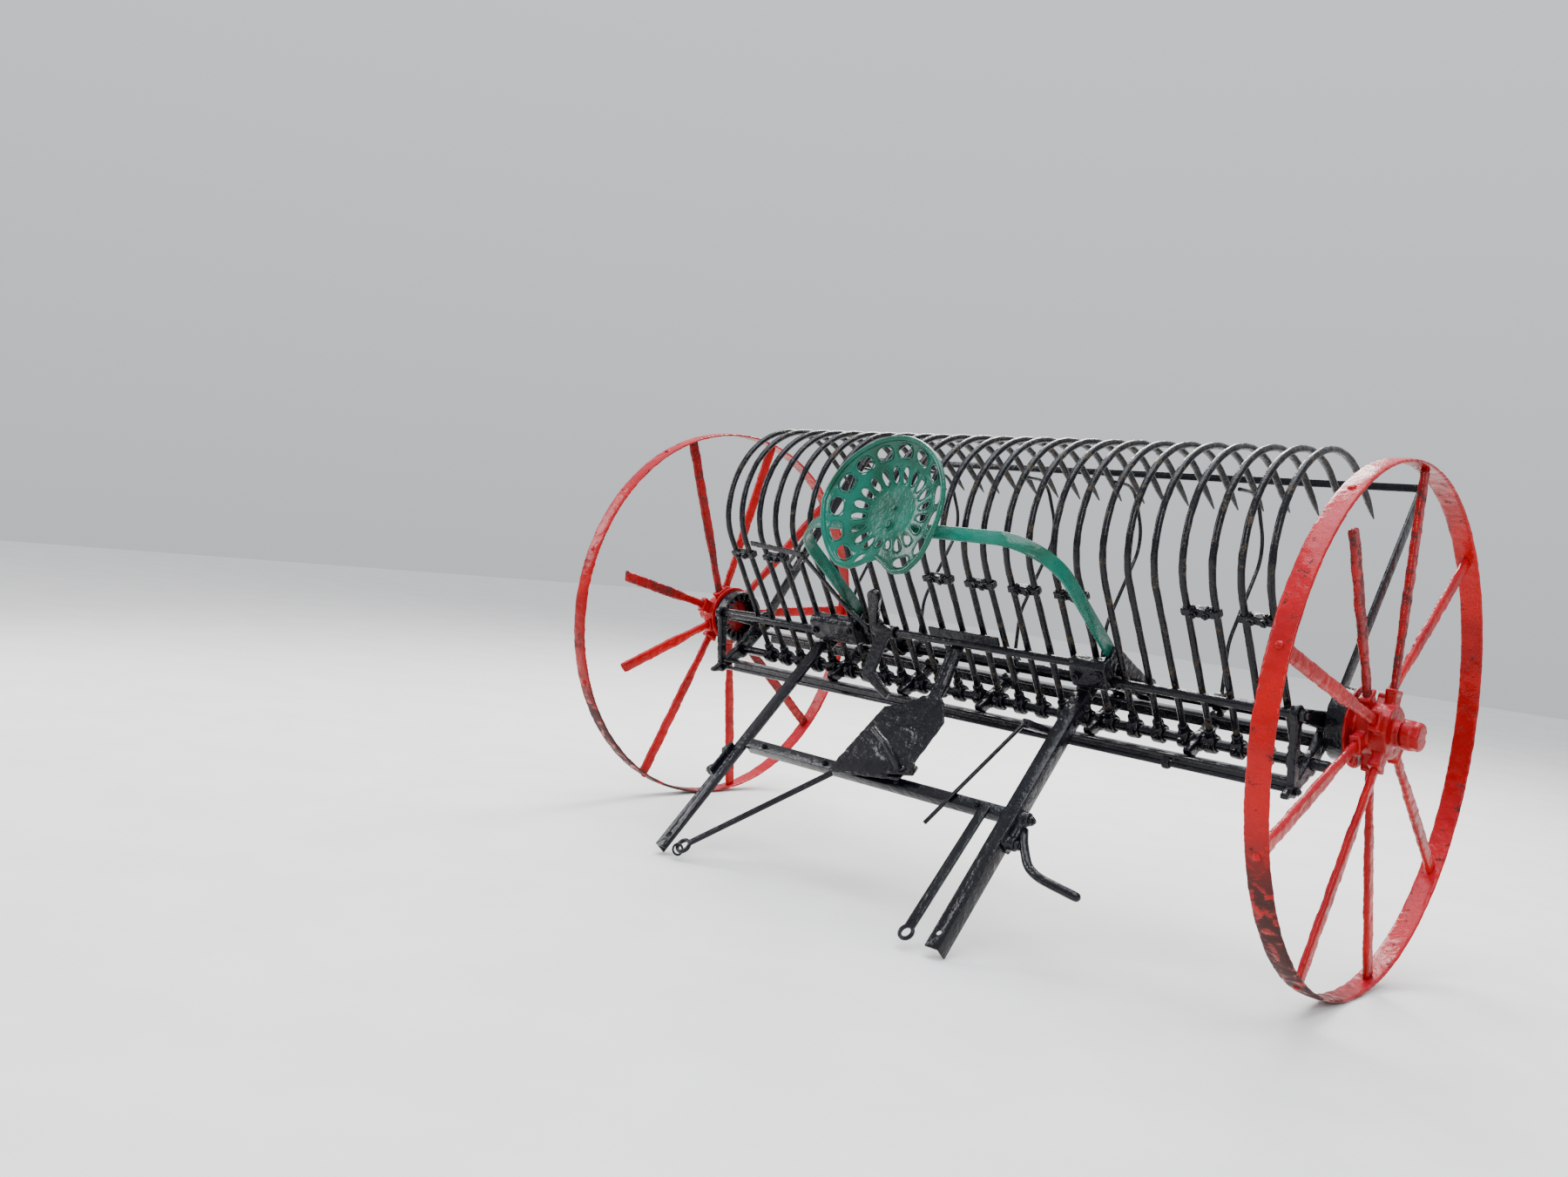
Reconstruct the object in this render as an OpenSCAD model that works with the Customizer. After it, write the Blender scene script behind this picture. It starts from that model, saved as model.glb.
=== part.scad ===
// Horse-drawn dump hay rake: two tall spoked wheels on one axle, a hinged head of hoop
// teeth held up, a pan seat on an arch, and two shafts that rest on the ground.
// +X runs along the axle to the right-hand wheel, -Y is forward, +Z is up.

/* [Wheels] */
// Radius of the wheel over its tread
wheel_r = 686; // [600:1:760]
// Distance between the middle planes of the two rims
track = 2440; // [2400:1:2520]
// Width of the rim
rim_w = 61; // [45:1:75]
// Thickness of the rim at its edges
rim_edge_t = 8; // [5:0.5:12]
// Extra thickness of the rim along the middle of the tread
rim_crown = 2; // [0.5:0.5:4]
// Width of a spoke at the rim
spoke_w = 34; // [24:1:40]
// Width of a spoke at the hub
spoke_neck_w = 24; // [16:1:30]
// Thickness of a spoke
spoke_t = 12; // [8:0.5:16]
// Distance between the two rows of spoke sockets, middle to middle
socket_rows = 40; // [36:1:60]

/* [Hubs] */
// Radius over the mouths of the spoke sockets
socket_r = 108; // [98:1:120]
// Width of a socket across the spoke
socket_w = 46; // [42:1:54]
// Wall of a socket round the spoke
socket_wall = 7; // [5:0.5:9]
// Radius of the hub's barrel
barrel_r = 34; // [30:0.5:40]
// Radius of the cap nut
cap_r = 39; // [36:0.5:46]
// Length of the cap nut along the axle
cap_l = 47; // [36:1:60]
// Outer radius of the toothed ring inside the wheel
ratchet_r = 96; // [86:1:104]
// Inner radius of the toothed ring, at the tips of its teeth
ratchet_in_r = 62; // [54:1:70]
// Width of the toothed ring along the axle
ratchet_w = 52; // [36:1:60]
// Number of teeth in the ring
ratchet_teeth = 18; // [12:1:24]

/* [Axle and beams] */
// Radius of the axle
axle_r = 19; // [15:0.5:24]
// Room between the right-hand rim's middle plane and the end casting beside it
casting_right_gap = 112; // [110:1:120]
// Room between the left-hand rim's middle plane and the end casting beside it
casting_left_gap = 208; // [180:1:220]
// Thickness of an end casting
casting_t = 22; // [18:1:24]
// Drop from the axle's middle to the main beam's top face
beam_drop = 36; // [32:1:44]
// Width of the main beam's flat flange
beam_w = 92; // [70:1:100]
// Depth of the main beam's upright flange
beam_depth = 42; // [30:1:60]
// Thickness of the main beam's and the lower angle's flanges
beam_t = 8; // [5:0.5:10]
// Width of the lower angle's flat flange
low_angle_w = 70; // [50:1:75]
// Depth of the lower angle's upright flange
low_angle_depth = 36; // [20:1:50]
// Radius of the trip rods in front of the teeth
trip_r = 12; // [9:0.5:13]
// Radius of the thin rod below the lower angle
low_rod_r = 7; // [5:0.5:9]

/* [Teeth] */
// Number of teeth on the rake head
tooth_count = 26; // [20:1:26]
// Distance from the right-hand rim's middle plane to the first tooth
first_tooth_gap = 158; // [150:1:170]
// Distance from the left-hand rim's middle plane to the last tooth
last_tooth_gap = 377; // [340:1:400]
// Radius of a tooth's rod
tooth_r = 9.5; // [7:0.5:11]
// Lean of the teeth from upright, at rest
tooth_lean = 33.4; // [31:0.1:36]
// Radius of the hoop that a tooth bends into
hoop_r = 292; // [285:1:300]
// Height of the hoop's centre above the tooth shaft
hoop_rise = 505; // [490:1:520]
// Angle of the hoop, from the horizontal behind it, where the straight tip begins
tip_from = 54; // [45:1:65]
// Length of the straight tip
tip_l = 154; // [120:1:180]
// Length of the ground point at the end of the tip
point_l = 72; // [40:1:90]
// Radius of the shaft that carries the teeth
tooth_shaft_r = 15; // [12:0.5:18]
// Radius of a tooth's cast foot
foot_r = 27; // [24:0.5:30]
// Width of a tooth's cast foot along the shaft
foot_w = 34; // [26:1:40]
// Distance of the spacer clips below the bend where a tooth's leg ends
clip_below = 48; // [30:1:90]

/* [Shafts] */
// Slope of the shafts below the horizontal
shaft_slope = 47.3; // [44:0.1:50]
// Angle between each shaft and the rake's middle line, in plan of the shafts
shaft_splay = 1.6; // [0:0.1:3]
// Width and depth of a shaft's angle iron
shaft_w = 44; // [36:1:48]
// Thickness of a shaft's angle iron
shaft_t = 7; // [5:0.5:9]
// Place of the crossbar along the shafts, from their upper ends
crossbar_at = 495; // [450:1:540]
// Width of the crossbar's angle iron
crossbar_w = 34; // [26:1:40]
// Radius of the bolt hole near the lower end of each shaft
tip_hole_r = 7; // [5:0.5:9]
// Distance of that hole from the shaft's end
tip_hole_from = 45; // [30:1:70]
// Radius of the hole in the draw link's eye
draw_eye_r = 16; // [10:0.5:20]
// Radius of the hole in the brace bar's eye
brace_eye_r = 13; // [8:0.5:16]

/* [Seat] */
// Slope of the seat arch, from upright
arch_lean = 54.3; // [50:0.1:58]
// Height of the arch along its slope
arch_h = 461; // [440:1:500]
// Radius of the arch's shoulders
arch_bend_r = 160; // [130:1:190]
// Width of the arch's flat bar
arch_w = 42; // [34:1:50]
// Thickness of the arch's flat bar
arch_t = 10; // [7:0.5:12]
// Radius of the seat pan's round back
seat_r = 204; // [190:1:220]
// Height of the seat's rolled rim above its flat middle
seat_rise = 66; // [50:1:80]
// Thickness of the seat pan
seat_t = 5; // [4:0.5:8]
// Radius of the seat's flat middle
seat_disc_r = 77; // [70:1:84]
// Tilt of the seat beyond the arch's lean
seat_tilt = 17.3; // [12:0.1:22]
// Place of the seat's bolt on the arch, to the left of the arch's middle
seat_aside = 55; // [0:1:80]

/* [Rear bar] */
// Place of the rear bar behind the axle
rear_bar_y = 430; // [415:1:450]
// Height of the rear bar
rear_bar_z = 1340; // [1320:1:1360]
// Side of the rear bar's square section
rear_bar_s = 22; // [16:1:28]
// Width of the bar's struts
strut_w = 40; // [30:1:50]
// Thickness of the bar's struts
strut_t = 8; // [6:0.5:12]
// Radius of the stripper rods that hang inside the hoops
stripper_r = 5.5; // [4:0.5:7]

/* [Hidden] */
$fn = 48;
seat_fit = 0.3;      // gap between pieces that seat on each other
run_fit = 0.08;      // gap of a running fit, on the radius
bend_slack = 0.1;    // a rod's bends are this much thinner than its straights,
bend_lap = 0.2;      // which run this far into them

axle_z = wheel_r;
rim_x = track / 2;
casting_right = rim_x - casting_right_gap;
casting_left = rim_x - casting_left_gap;
beam_top = axle_z - beam_drop;
first_tooth = rim_x - first_tooth_gap;
tooth_pitch = (track - first_tooth_gap - last_tooth_gap) / (tooth_count - 1);

// A place by a tooth's leg: its distance along the leg, and in front of it
function by_leg(along, front) = [
    tooth_y - along * sin(tooth_lean) - front * cos(tooth_lean),
    tooth_z + along * cos(tooth_lean) - front * sin(tooth_lean),
];

// The tooth shaft, the trip rods that the teeth lean towards, and the low rod. The outer
// trip rods run at trip_place, and the middle one between the shaft heads is higher.
tooth_y = -100;
tooth_z = axle_z - 106;
tooth_gap = 5.5;     // room between a tooth at rest and what is fixed
trip_front = tooth_r + tooth_gap + trip_r;
mid_along = 214;
trip_place = by_leg(170, trip_front);
mid_place = by_leg(mid_along, trip_front);
low_rod_y = -190;
low_rod_z = axle_z - 171;

// The shafts' upper ends
root_y = -197;
root_z = axle_z + 10;

function tooth_x(k) = first_tooth - tooth_pitch * k;
root_right_x = tooth_x(7.5);
root_left_x = tooth_x(20.5);

// Length of a shaft, so that the lower corner of its end meets the ground
shaft_drop = (root_z - shaft_w * cos(shaft_slope)) / sin(shaft_slope);
shaft_l = (shaft_drop - shaft_w / 2 * sin(shaft_splay)) / cos(shaft_splay);

// How far the rake reaches in front of the axle, and so the place of its origin
front_reach = -root_y + shaft_drop * cos(shaft_slope) + shaft_w / 4;
axle_y = (front_reach - wheel_r) / 2;

// The rake's own frame: y and z are measured from the axle line and the ground
module placed() {
    translate([0, axle_y, 0]) children();
}

// Draws in the plane across the axle, at x: first axis to the rear, second axis up
module side_plane(x = 0) {
    translate([x, 0, 0]) rotate([90, 0, 90]) children();
}

// A plate of thickness t in the plane across the axle, its middle at x
module side_plate(x, t) {
    side_plane(x - t / 2) linear_extrude(t) children();
}

// A section, drawn by children(), swept along straight runs and bends in one plane:
// each run is [length, turn to the left in degrees, radius of the turn]
module swept(runs, i = 0) {
    length = runs[i][0];
    turn = runs[i][1];
    bend_r = runs[i][2];
    side = turn > 0 ? 1 : -1;
    rotate([90, 0, 90]) linear_extrude(length) children();
    if (turn != 0) {
        translate([length, side * bend_r, 0]) {
            rotate_extrude(angle = turn, start = -90 * side) translate([bend_r, 0]) children();
            if (i + 1 < len(runs))
                rotate([0, 0, turn]) translate([0, -side * bend_r, 0])
                    swept(runs, i + 1) children();
        }
    }
}

// A round rod bent in one plane, with children() at its end. Columns as for swept()
module rod_path(r, runs, i = 0) {
    length = runs[i][0];
    turn = runs[i][1];
    bend_r = runs[i][2];
    side = turn > 0 ? 1 : -1;
    before = i > 0 ? bend_lap : 0;
    after = turn != 0 ? bend_lap : 0;
    translate([-before, 0, 0]) rotate([0, 90, 0]) cylinder(r = r, h = length + before + after);
    if (turn != 0)
        translate([length, side * bend_r, 0]) {
            rotate_extrude(angle = turn, start = -90 * side)
                translate([bend_r, 0]) circle(r = r - bend_slack);
            rotate([0, 0, turn]) translate([0, -side * bend_r, 0])
                if (i + 1 < len(runs)) rod_path(r, runs, i + 1) children();
        }
    else
        translate([length, 0, 0]) children();
}

// A trapezium between two places, with a half width at each
module web(a, b, half_a, half_b) {
    slope = atan2(b[1] - a[1], b[0] - a[0]);
    translate(a) rotate(slope)
        polygon([[0, -half_a], [norm(b - a), -half_b], [norm(b - a), half_b], [0, half_a]]);
}

// Wheels. The first axis of a wheel's own frame points down, and z is away from the rake
module on_wheel(side) {
    translate([side * rim_x, 0, axle_z]) rotate([0, 90 * side, 0]) children();
}

// Turns to the spoke at an angle that is measured from the rear, upwards
module to_spoke(side, angle) {
    rotate([0, 0, 90 + side * angle]) children();
}

// Columns: angle of the spoke's socket, share of the way to the rim that the spoke
// reaches, row of its socket, and how far it is bent aside at the socket
rim_in_r = wheel_r - rim_edge_t - rim_crown;
spokes_of_right = [
    [163, 1, 1, 0], [123, 0.865, -1, 1], [83, 1, 1, 0], [43, 1, -1, 0],
    [-37, 1, 1, 0], [-77, 1, -1, 0], [-117, 1, 1, 0], [-157, 1, -1, 0],
];
spokes_of_left = [
    [163, 0.755, 1, 5], [123, 1, -1, -13], [83, 1, 1, -7], [43, 1, -1, 1],
    [3, 1, 1, 1], [-37, 1, 1, -3], [-77, 1, -1, -2], [-117, 1, 1, -1],
    [-157, 0.77, -1, 2],
];

module rim(side) {
    color("crimson") placed() on_wheel(side)
        rotate_extrude($fn = 96)
            polygon([
                [rim_in_r, -rim_w / 2], [wheel_r - rim_crown, -rim_w / 2],
                [wheel_r, -rim_w / 6], [wheel_r, rim_w / 6],
                [wheel_r - rim_crown, rim_w / 2], [rim_in_r, rim_w / 2],
            ]);
}

// Flat bars from the sockets to the middle of the rim
module spokes(side, table) {
    color("red") placed() on_wheel(side)
        for (row = table)
            to_spoke(side, row[0]) spoke(row[1], row[2], side * row[3]);
}

// How far past its knee a bent spoke meets the rim, along its left or right edge
function to_rim(knee_r, bend, edge) =
    sqrt(pow(rim_in_r - seat_fit, 2) - pow(edge * spoke_w / 2 - knee_r * sin(bend), 2))
    - knee_r * cos(bend);

// A flat bar from its socket to the rim, bent aside where it leaves the socket
module spoke(share, row, bend) {
    inner_r = socket_r - 34;
    knee_r = socket_r + 6;
    knee = knee_r - inner_r;
    offset_in = row * socket_rows / 2;
    tilt = atan(offset_in / (rim_in_r - inner_r));
    mitre = spoke_neck_w / 2 * tan(bend / 2);
    broken = share * rim_in_r - knee_r;
    left_end = (share < 1 ? broken : to_rim(knee_r, bend, 1)) / cos(tilt);
    right_end = (share < 1 ? broken - 10 : to_rim(knee_r, bend, -1)) / cos(tilt);
    past_knee = function (x, y) [
        knee + x * cos(bend) - y * sin(bend), x * sin(bend) + y * cos(bend),
    ];
    translate([inner_r, 0, offset_in]) rotate([0, tilt, 0])
        translate([0, 0, -spoke_t / 2]) linear_extrude(spoke_t)
            polygon([
                [0, -spoke_neck_w / 2], [knee + mitre, -spoke_neck_w / 2],
                past_knee(left_end * 0.2, -spoke_neck_w / 2), past_knee(left_end * 0.35, -spoke_w / 2),
                past_knee(right_end, -spoke_w / 2), past_knee(left_end, spoke_w / 2),
                past_knee(left_end * 0.35, spoke_w / 2), past_knee(left_end * 0.2, spoke_neck_w / 2),
                [knee - mitre, spoke_neck_w / 2], [0, spoke_neck_w / 2],
            ]);
}

// Cast hub: a barrel with two staggered rows of open sockets
hub_in = -52;
hub_out = 58;
spoke_step = 40;
spoke_first = 3;
hub_core_r = socket_r - 40;

module hub(side) {
    color("red") placed() on_wheel(side)
        difference() {
            union() {
                translate([0, 0, hub_in]) cylinder(r = hub_core_r, h = hub_out - 18 - hub_in);
                translate([0, 0, hub_in]) cylinder(r = socket_r, h = 8);
                translate([0, 0, hub_in]) cylinder(r = barrel_r, h = hub_out - hub_in);
                for (i = [0 : 8])
                    to_spoke(side, spoke_first + spoke_step * i)
                        socket(i % 2 == 0 ? 1 : -1);
            }
            for (i = [0 : 8])
                to_spoke(side, spoke_first + spoke_step * i)
                    socket_slot(i % 2 == 0 ? 1 : -1);
            translate([0, 0, hub_in - 1]) cylinder(r = axle_r + run_fit, h = hub_out - hub_in + 2);
        }
}

module socket(row) {
    mouth_l = 12;
    mouth_lip = 4;
    low = row * socket_rows / 2 - spoke_t / 2 - socket_wall;
    translate([hub_core_r - 8, -socket_w / 2, low])
        cube([socket_r - hub_core_r + 8, socket_w, spoke_t + 2 * socket_wall]);
    translate([socket_r - mouth_l, -socket_w / 2 - mouth_lip, low - mouth_lip / 2])
        cube([mouth_l, socket_w + 2 * mouth_lip, spoke_t + 2 * socket_wall + mouth_lip]);
}

// The slot that a spoke's end lies in, along the spoke's own slant
module socket_slot(row) {
    inner_r = socket_r - 34;
    offset_in = row * socket_rows / 2;
    tilt = atan(offset_in / (rim_in_r - inner_r));
    translate([inner_r, 0, offset_in]) rotate([0, tilt, 0])
        translate([-seat_fit, -spoke_neck_w / 2 - seat_fit, -spoke_t / 2 - seat_fit])
            cube([60, spoke_neck_w + 2 * seat_fit, spoke_t + 2 * seat_fit]);
}

module hub_cap(side) {
    axle_end = hub_out + cap_l - 12;
    color("red") placed() on_wheel(side)
        difference() {
            union() {
                translate([0, 0, hub_out]) cylinder(r = cap_r - 5, h = cap_l);
                translate([0, 0, hub_out + 4]) cylinder(r = cap_r, h = cap_l - 26);
                translate([0, 0, hub_out + cap_l - 16]) cylinder(r = cap_r - 1, h = 12, $fn = 8);
            }
            translate([0, 0, hub_out - 1]) cylinder(r = axle_r + run_fit, h = axle_end - hub_out + 1);
            translate([-7, cap_r - 14, hub_out + cap_l - 22]) cube([14, 20, 30]);
        }
}

// Ring with inward teeth, on the inner face of the hub
module ratchet(side) {
    tooth_w = 7;
    color("dimgray") placed() on_wheel(side)
        translate([0, 0, hub_in - ratchet_w])
            difference() {
                cylinder(r = ratchet_r, h = ratchet_w);
                translate([0, 0, -1]) cylinder(r = ratchet_in_r, h = ratchet_w + 2);
                for (i = [0 : ratchet_teeth - 1])
                    rotate([0, 0, 360 / ratchet_teeth * i])
                        translate([ratchet_in_r - 10, tooth_w / 2, -1])
                            cube([ratchet_r - ratchet_in_r + 2, ratchet_slot_w - tooth_w, ratchet_w - 8]);
            }
}

ratchet_slot_w = 2 * PI * ratchet_in_r / ratchet_teeth;

// Axle, beams and end castings
axle_half = rim_x + hub_out + cap_l - 14;
casting_right_in = casting_right - casting_t;
casting_left_in = casting_left - casting_t;
axle_place = [0, axle_z];
tooth_place = [tooth_y, tooth_z];
low_rod_place = [low_rod_y, low_rod_z];

module axle() {
    color("black") placed()
        translate([-axle_half, 0, axle_z]) rotate([0, 90, 0]) cylinder(r = axle_r, h = 2 * axle_half);
}

// An angle iron along the axle: its flat flange's top corner at the rear is at (rear, top)
module cross_angle(rear, top, width, depth) {
    side_plane(-casting_left_in) linear_extrude(casting_left_in + casting_right_in)
        polygon([
            [rear, top], [rear, top - depth], [rear - beam_t, top - depth],
            [rear - beam_t, top - beam_t], [rear - width, top - beam_t], [rear - width, top],
        ]);
}

beam_rear = beam_w / 2 - 5;

module main_beam() {
    color("black") placed() cross_angle(beam_rear, beam_top, beam_w, beam_depth);
}

low_angle_rear = -132;
low_angle_top = axle_z - 143;

module lower_angle() {
    color("black") placed() cross_angle(low_angle_rear, low_angle_top, low_angle_w, low_angle_depth);
}

// Casting at each end: bosses for the axle, the tooth shaft and the rods, joined by webs,
// with a hook foot in front
module end_casting(outer_x, side) {
    toe = low_rod_place + [-44, -14];
    color("black") placed() side_plate(side * (outer_x - casting_t / 2), casting_t)
        difference() {
            union() {
                translate(axle_place) circle(r = axle_r + 18);
                translate(tooth_place) circle(r = tooth_shaft_r + 18);
                translate(trip_place) circle(r = trip_r + 14);
                translate(low_rod_place) circle(r = low_rod_r + 13);
                web(axle_place, tooth_place, 30, 26);
                web(axle_place, trip_place, 26, 18);
                web(trip_place, low_rod_place, 16, 14);
                web(tooth_place, low_rod_place, 26, 15);
                web(low_rod_place, toe, 15, 7);
            }
            translate(axle_place) circle(r = axle_r + seat_fit);
            translate(tooth_place) circle(r = tooth_shaft_r + seat_fit);
            translate(trip_place) circle(r = trip_r + seat_fit);
            translate(low_rod_place) circle(r = low_rod_r + seat_fit);
        }
}

// Round rods along the rake, from beyond the left casting to beyond the right one
rod_end = 12;

module cross_rod(place, r, left, right) {
    translate([left, place[0], place[1]]) rotate([0, 90, 0]) cylinder(r = r, h = right - left);
}

// The left and right rods end inside the shaft heads, and the middle one runs between them
module trip_rods(grow = 0) {
    cross_rod(trip_place, trip_r + grow, -casting_left - rod_end, head_left_x + head_t / 2 + grow);
    cross_rod(trip_place, trip_r + grow, head_right_x - head_t / 2 - grow, casting_right + rod_end);
    cross_rod(mid_place, trip_r + grow, head_left_end - 30 - grow, head_right_x + grow);
}

module trip_rod() {
    color("black") placed() trip_rods();
}

module low_rod() {
    color("black") placed()
        cross_rod(low_rod_place, low_rod_r, -casting_left - rod_end, casting_right + rod_end);
}

// Hangers that carry the tooth shaft from the main beam, in gaps between the teeth
hanger_gaps = [3.5, 7.5, 12.5, 16.5, 20.5];
hanger_t = 24;

module shaft_hangers() {
    under_beam = [-20, beam_top - beam_t - seat_fit];
    on_angle = [low_angle_rear - 30, low_angle_top + seat_fit];
    color("black") placed()
        for (gap = hanger_gaps)
            side_plate(tooth_x(gap), hanger_t)
                difference() {
                    union() {
                        translate(tooth_place) circle(r = tooth_shaft_r + 13);
                        web(tooth_place, under_beam, 18, 24);
                        web(tooth_place, on_angle, 18, 20);
                    }
                    translate(tooth_place) circle(r = tooth_shaft_r + seat_fit);
                    translate([-100, under_beam[1]]) square([200, 60]);
                    translate([low_angle_rear - 80, on_angle[1] - 60]) square([80 + seat_fit, 60]);
                    translate([beam_rear - beam_t - seat_fit, beam_top - 100]) square([60, 100]);
                }
}

// Shaft heads: each has plates round the axle, in neighbouring gaps, and a block in front
// of the teeth that joins them on the trip rods. The left plate carries the shaft, and the
// right one the foot of the seat arch.
head_t = 40;
head_reach = 36;     // how far a head reaches down its shaft
head_right_x = tooth_x(7.5);
head_left_x = tooth_x(20.5);
head_left_end = tooth_x(18.5) + head_t / 2;
arch_foot = [-225, axle_z + 104];

// A place by the shafts: its distance down the slope, and above their top faces
function by_shaft(along, up) = [
    root_y - along * cos(shaft_slope) - up * sin(shaft_slope),
    root_z - along * sin(shaft_slope) + up * cos(shaft_slope),
];

// A place by the seat arch: its distance up the arch, and behind the arch's middle
function by_arch(up, behind) = [
    arch_foot[0] - up * sin(arch_lean) + behind * cos(arch_lean),
    arch_foot[1] + up * cos(arch_lean) + behind * sin(arch_lean),
];

module shaft_head(gap, arch_gap) {
    block_low = 152;
    block_high = 242;
    block_rear = trip_front - trip_r + 1;
    block_front = 62;
    color("black") placed()
        difference() {
            union() {
                for (g = [arch_gap : gap])
                    side_plate(tooth_x(g), head_t) {
                        translate(axle_place) circle(r = axle_r + 15);
                        web(axle_place, trip_place, 25, 20);
                    }
                side_plate(tooth_x(arch_gap), head_t)
                    difference() {
                        union() {
                            web(axle_place + [-10, 0], arch_foot, 24, arch_w / 2);
                            web(by_leg(200, 30), by_arch(8, 0), 24, arch_w / 2 + 2);
                        }
                        translate(by_arch(-seat_fit, 0)) rotate(90 + arch_lean)
                            translate([0, -60]) square([60, 120]);
                    }
                side_plate(tooth_x(gap), head_t)
                    polygon([
                        by_shaft(head_reach, 4), by_shaft(head_reach, -shaft_w), by_shaft(-10, -shaft_w),
                        by_shaft(-20, 10),
                    ]);
                side_plate((tooth_x(gap) + tooth_x(arch_gap)) / 2, tooth_x(arch_gap) - tooth_x(gap) + head_t)
                    polygon([
                        by_leg(block_low, block_rear), by_leg(block_high, block_rear),
                        by_leg(block_high, block_front - 14), by_leg(block_high - 14, block_front),
                        by_leg(block_low + 8, block_front),
                    ]);
            }
            translate([tooth_x(gap) - head_t, 0, axle_z]) rotate([0, 90, 0])
                cylinder(r = axle_r + seat_fit, h = tooth_x(arch_gap) - tooth_x(gap) + 2 * head_t);
            trip_rods(seat_fit);
        }
}

// Shafts: the plane through both, first axis across, second axis up the slope
module shaft_plane() {
    translate([0, root_y, root_z]) rotate([shaft_slope, 0, 0]) children();
}

// A shaft's own frame, turned to its splay
module on_shaft(x, side) {
    shaft_plane() translate([x, 0, 0]) rotate([0, 0, side * shaft_splay]) children();
}

shaft_from = (head_reach + seat_fit + shaft_w / 2 * sin(shaft_splay)) / cos(shaft_splay);

module shaft(x, side) {
    color("black") placed() on_shaft(x, side)
        difference() {
            translate([0, -shaft_from, -shaft_w]) rotate([90, 0, 0]) linear_extrude(shaft_l - shaft_from)
                difference() {
                    translate([-shaft_w / 2, 0]) square([shaft_w, shaft_w]);
                    translate([side > 0 ? -shaft_w / 2 - 1 : shaft_t - shaft_w / 2, -1])
                        square([shaft_w - shaft_t + 1, shaft_w - shaft_t + 1]);
                }
            translate([-side * shaft_t / 2, tip_hole_from - shaft_l, -shaft_t - 1])
                cylinder(r = tip_hole_r, h = shaft_t + 2);
        }
}

function shaft_x(x, side, along) = x + side * along * tan(shaft_splay);

// Height of the crossbar's and the footplate's undersides above the shafts' top faces
crossbar_up = 0;
plate_up = crossbar_up + seat_fit;
plate_t = 8;

module crossbar() {
    left = shaft_x(root_left_x, -1, crossbar_at - crossbar_w) + shaft_w / 2 + seat_fit;
    right = shaft_x(root_right_x, 1, crossbar_at - crossbar_w) - shaft_w / 2 - seat_fit;
    color("black") placed() shaft_plane()
        translate([left, -crossbar_at, crossbar_up]) rotate([90, 0, 90])
            linear_extrude(right - left)
                polygon([
                    [0, 0], [crossbar_w, 0], [crossbar_w, -6], [6, -6], [6, -crossbar_w], [0, -crossbar_w],
                ]);
}

// Clamp castings on the outer faces of the shafts
clamp_w = 34;
clamp_l = 120;
clamp_left_at = 500;
clamp_right_at = 455;

// A clamp lies on a shaft's outer face: a plate, a boss at each end and a rib between
module clamp(side) {
    plate = 11;
    boss_r = 19;
    plate_h = shaft_w + 18;
    color("black")
        translate([side > 0 ? 0 : -clamp_w, 0, 5 - shaft_w / 2]) {
            translate([side > 0 ? 0 : clamp_w - plate, -clamp_l, -plate_h / 2])
                cube([plate, clamp_l, plate_h]);
            for (along = [boss_r, clamp_l - boss_r])
                translate([0, -along, 0]) rotate([0, 90, 0]) cylinder(r = boss_r, h = clamp_w);
            translate([4, boss_r - clamp_l, -9]) cube([clamp_w - 8, clamp_l - 2 * boss_r, 18]);
        }
}

module shaft_clamps() {
    placed() {
        on_shaft(root_left_x, -1) translate([-shaft_w / 2 - seat_fit, -clamp_left_at, 0]) clamp(-1);
        on_shaft(root_right_x, 1) translate([shaft_w / 2 + seat_fit, -clamp_right_at, 0]) clamp(1);
    }
}

// Footplate on the crossbar: a ribbed neck rises from it to the middle trip rod, and its
// toe is turned up
neck_x = [36, 82];
neck_from = -190;
toe_turn = 14;
toe_corner = [-123, -457];
toe_slant = atan2(55, 260);
ring_place = [37, -354];
ring_r = 62;

// The middle trip rod in the shafts' plane: up the slope, and above the shafts' top faces
mid_up = (mid_place[0] - root_y) * cos(shaft_slope) + (mid_place[1] - root_z) * sin(shaft_slope);
mid_over = (mid_place[1] - root_z) * cos(shaft_slope) - (mid_place[0] - root_y) * sin(shaft_slope);

// The turned toe's own plane: its first axis runs along the bend
module toe_plane() {
    translate([toe_corner[0], toe_corner[1], plate_up]) rotate([-toe_turn, 0, toe_slant]) children();
}

module footplate() {
    neck_top = mid_over - trip_r - seat_fit;
    color("black") placed() shaft_plane() {
        translate([0, 0, plate_up]) {
            linear_extrude(plate_t)
                polygon([
                    [14, -168], [78, -158], [100, -176], [146, -248], [137, -402],
                    toe_corner, [-90, -237], [-32, -212], [2, -188],
                ]);
            translate([ring_place[0], ring_place[1], plate_t - 1])
                difference() {
                    cylinder(r = ring_r, h = 4);
                    translate([0, 0, -1]) cylinder(r = ring_r - 7, h = 6);
                }
        }
        toe_plane() linear_extrude(plate_t) polygon([[0, 6], [0, -60], [254, -84], [266, 6]]);
        translate([neck_x[0], 0, 0]) rotate([90, 0, 90]) linear_extrude(neck_x[1] - neck_x[0])
            polygon(neck_side(neck_top));
        for (x = [neck_x[0], neck_x[1] - 8])
            translate([x, 0, 0]) rotate([90, 0, 90]) linear_extrude(8)
                polygon(neck_rib(neck_top));
    }
}

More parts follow.
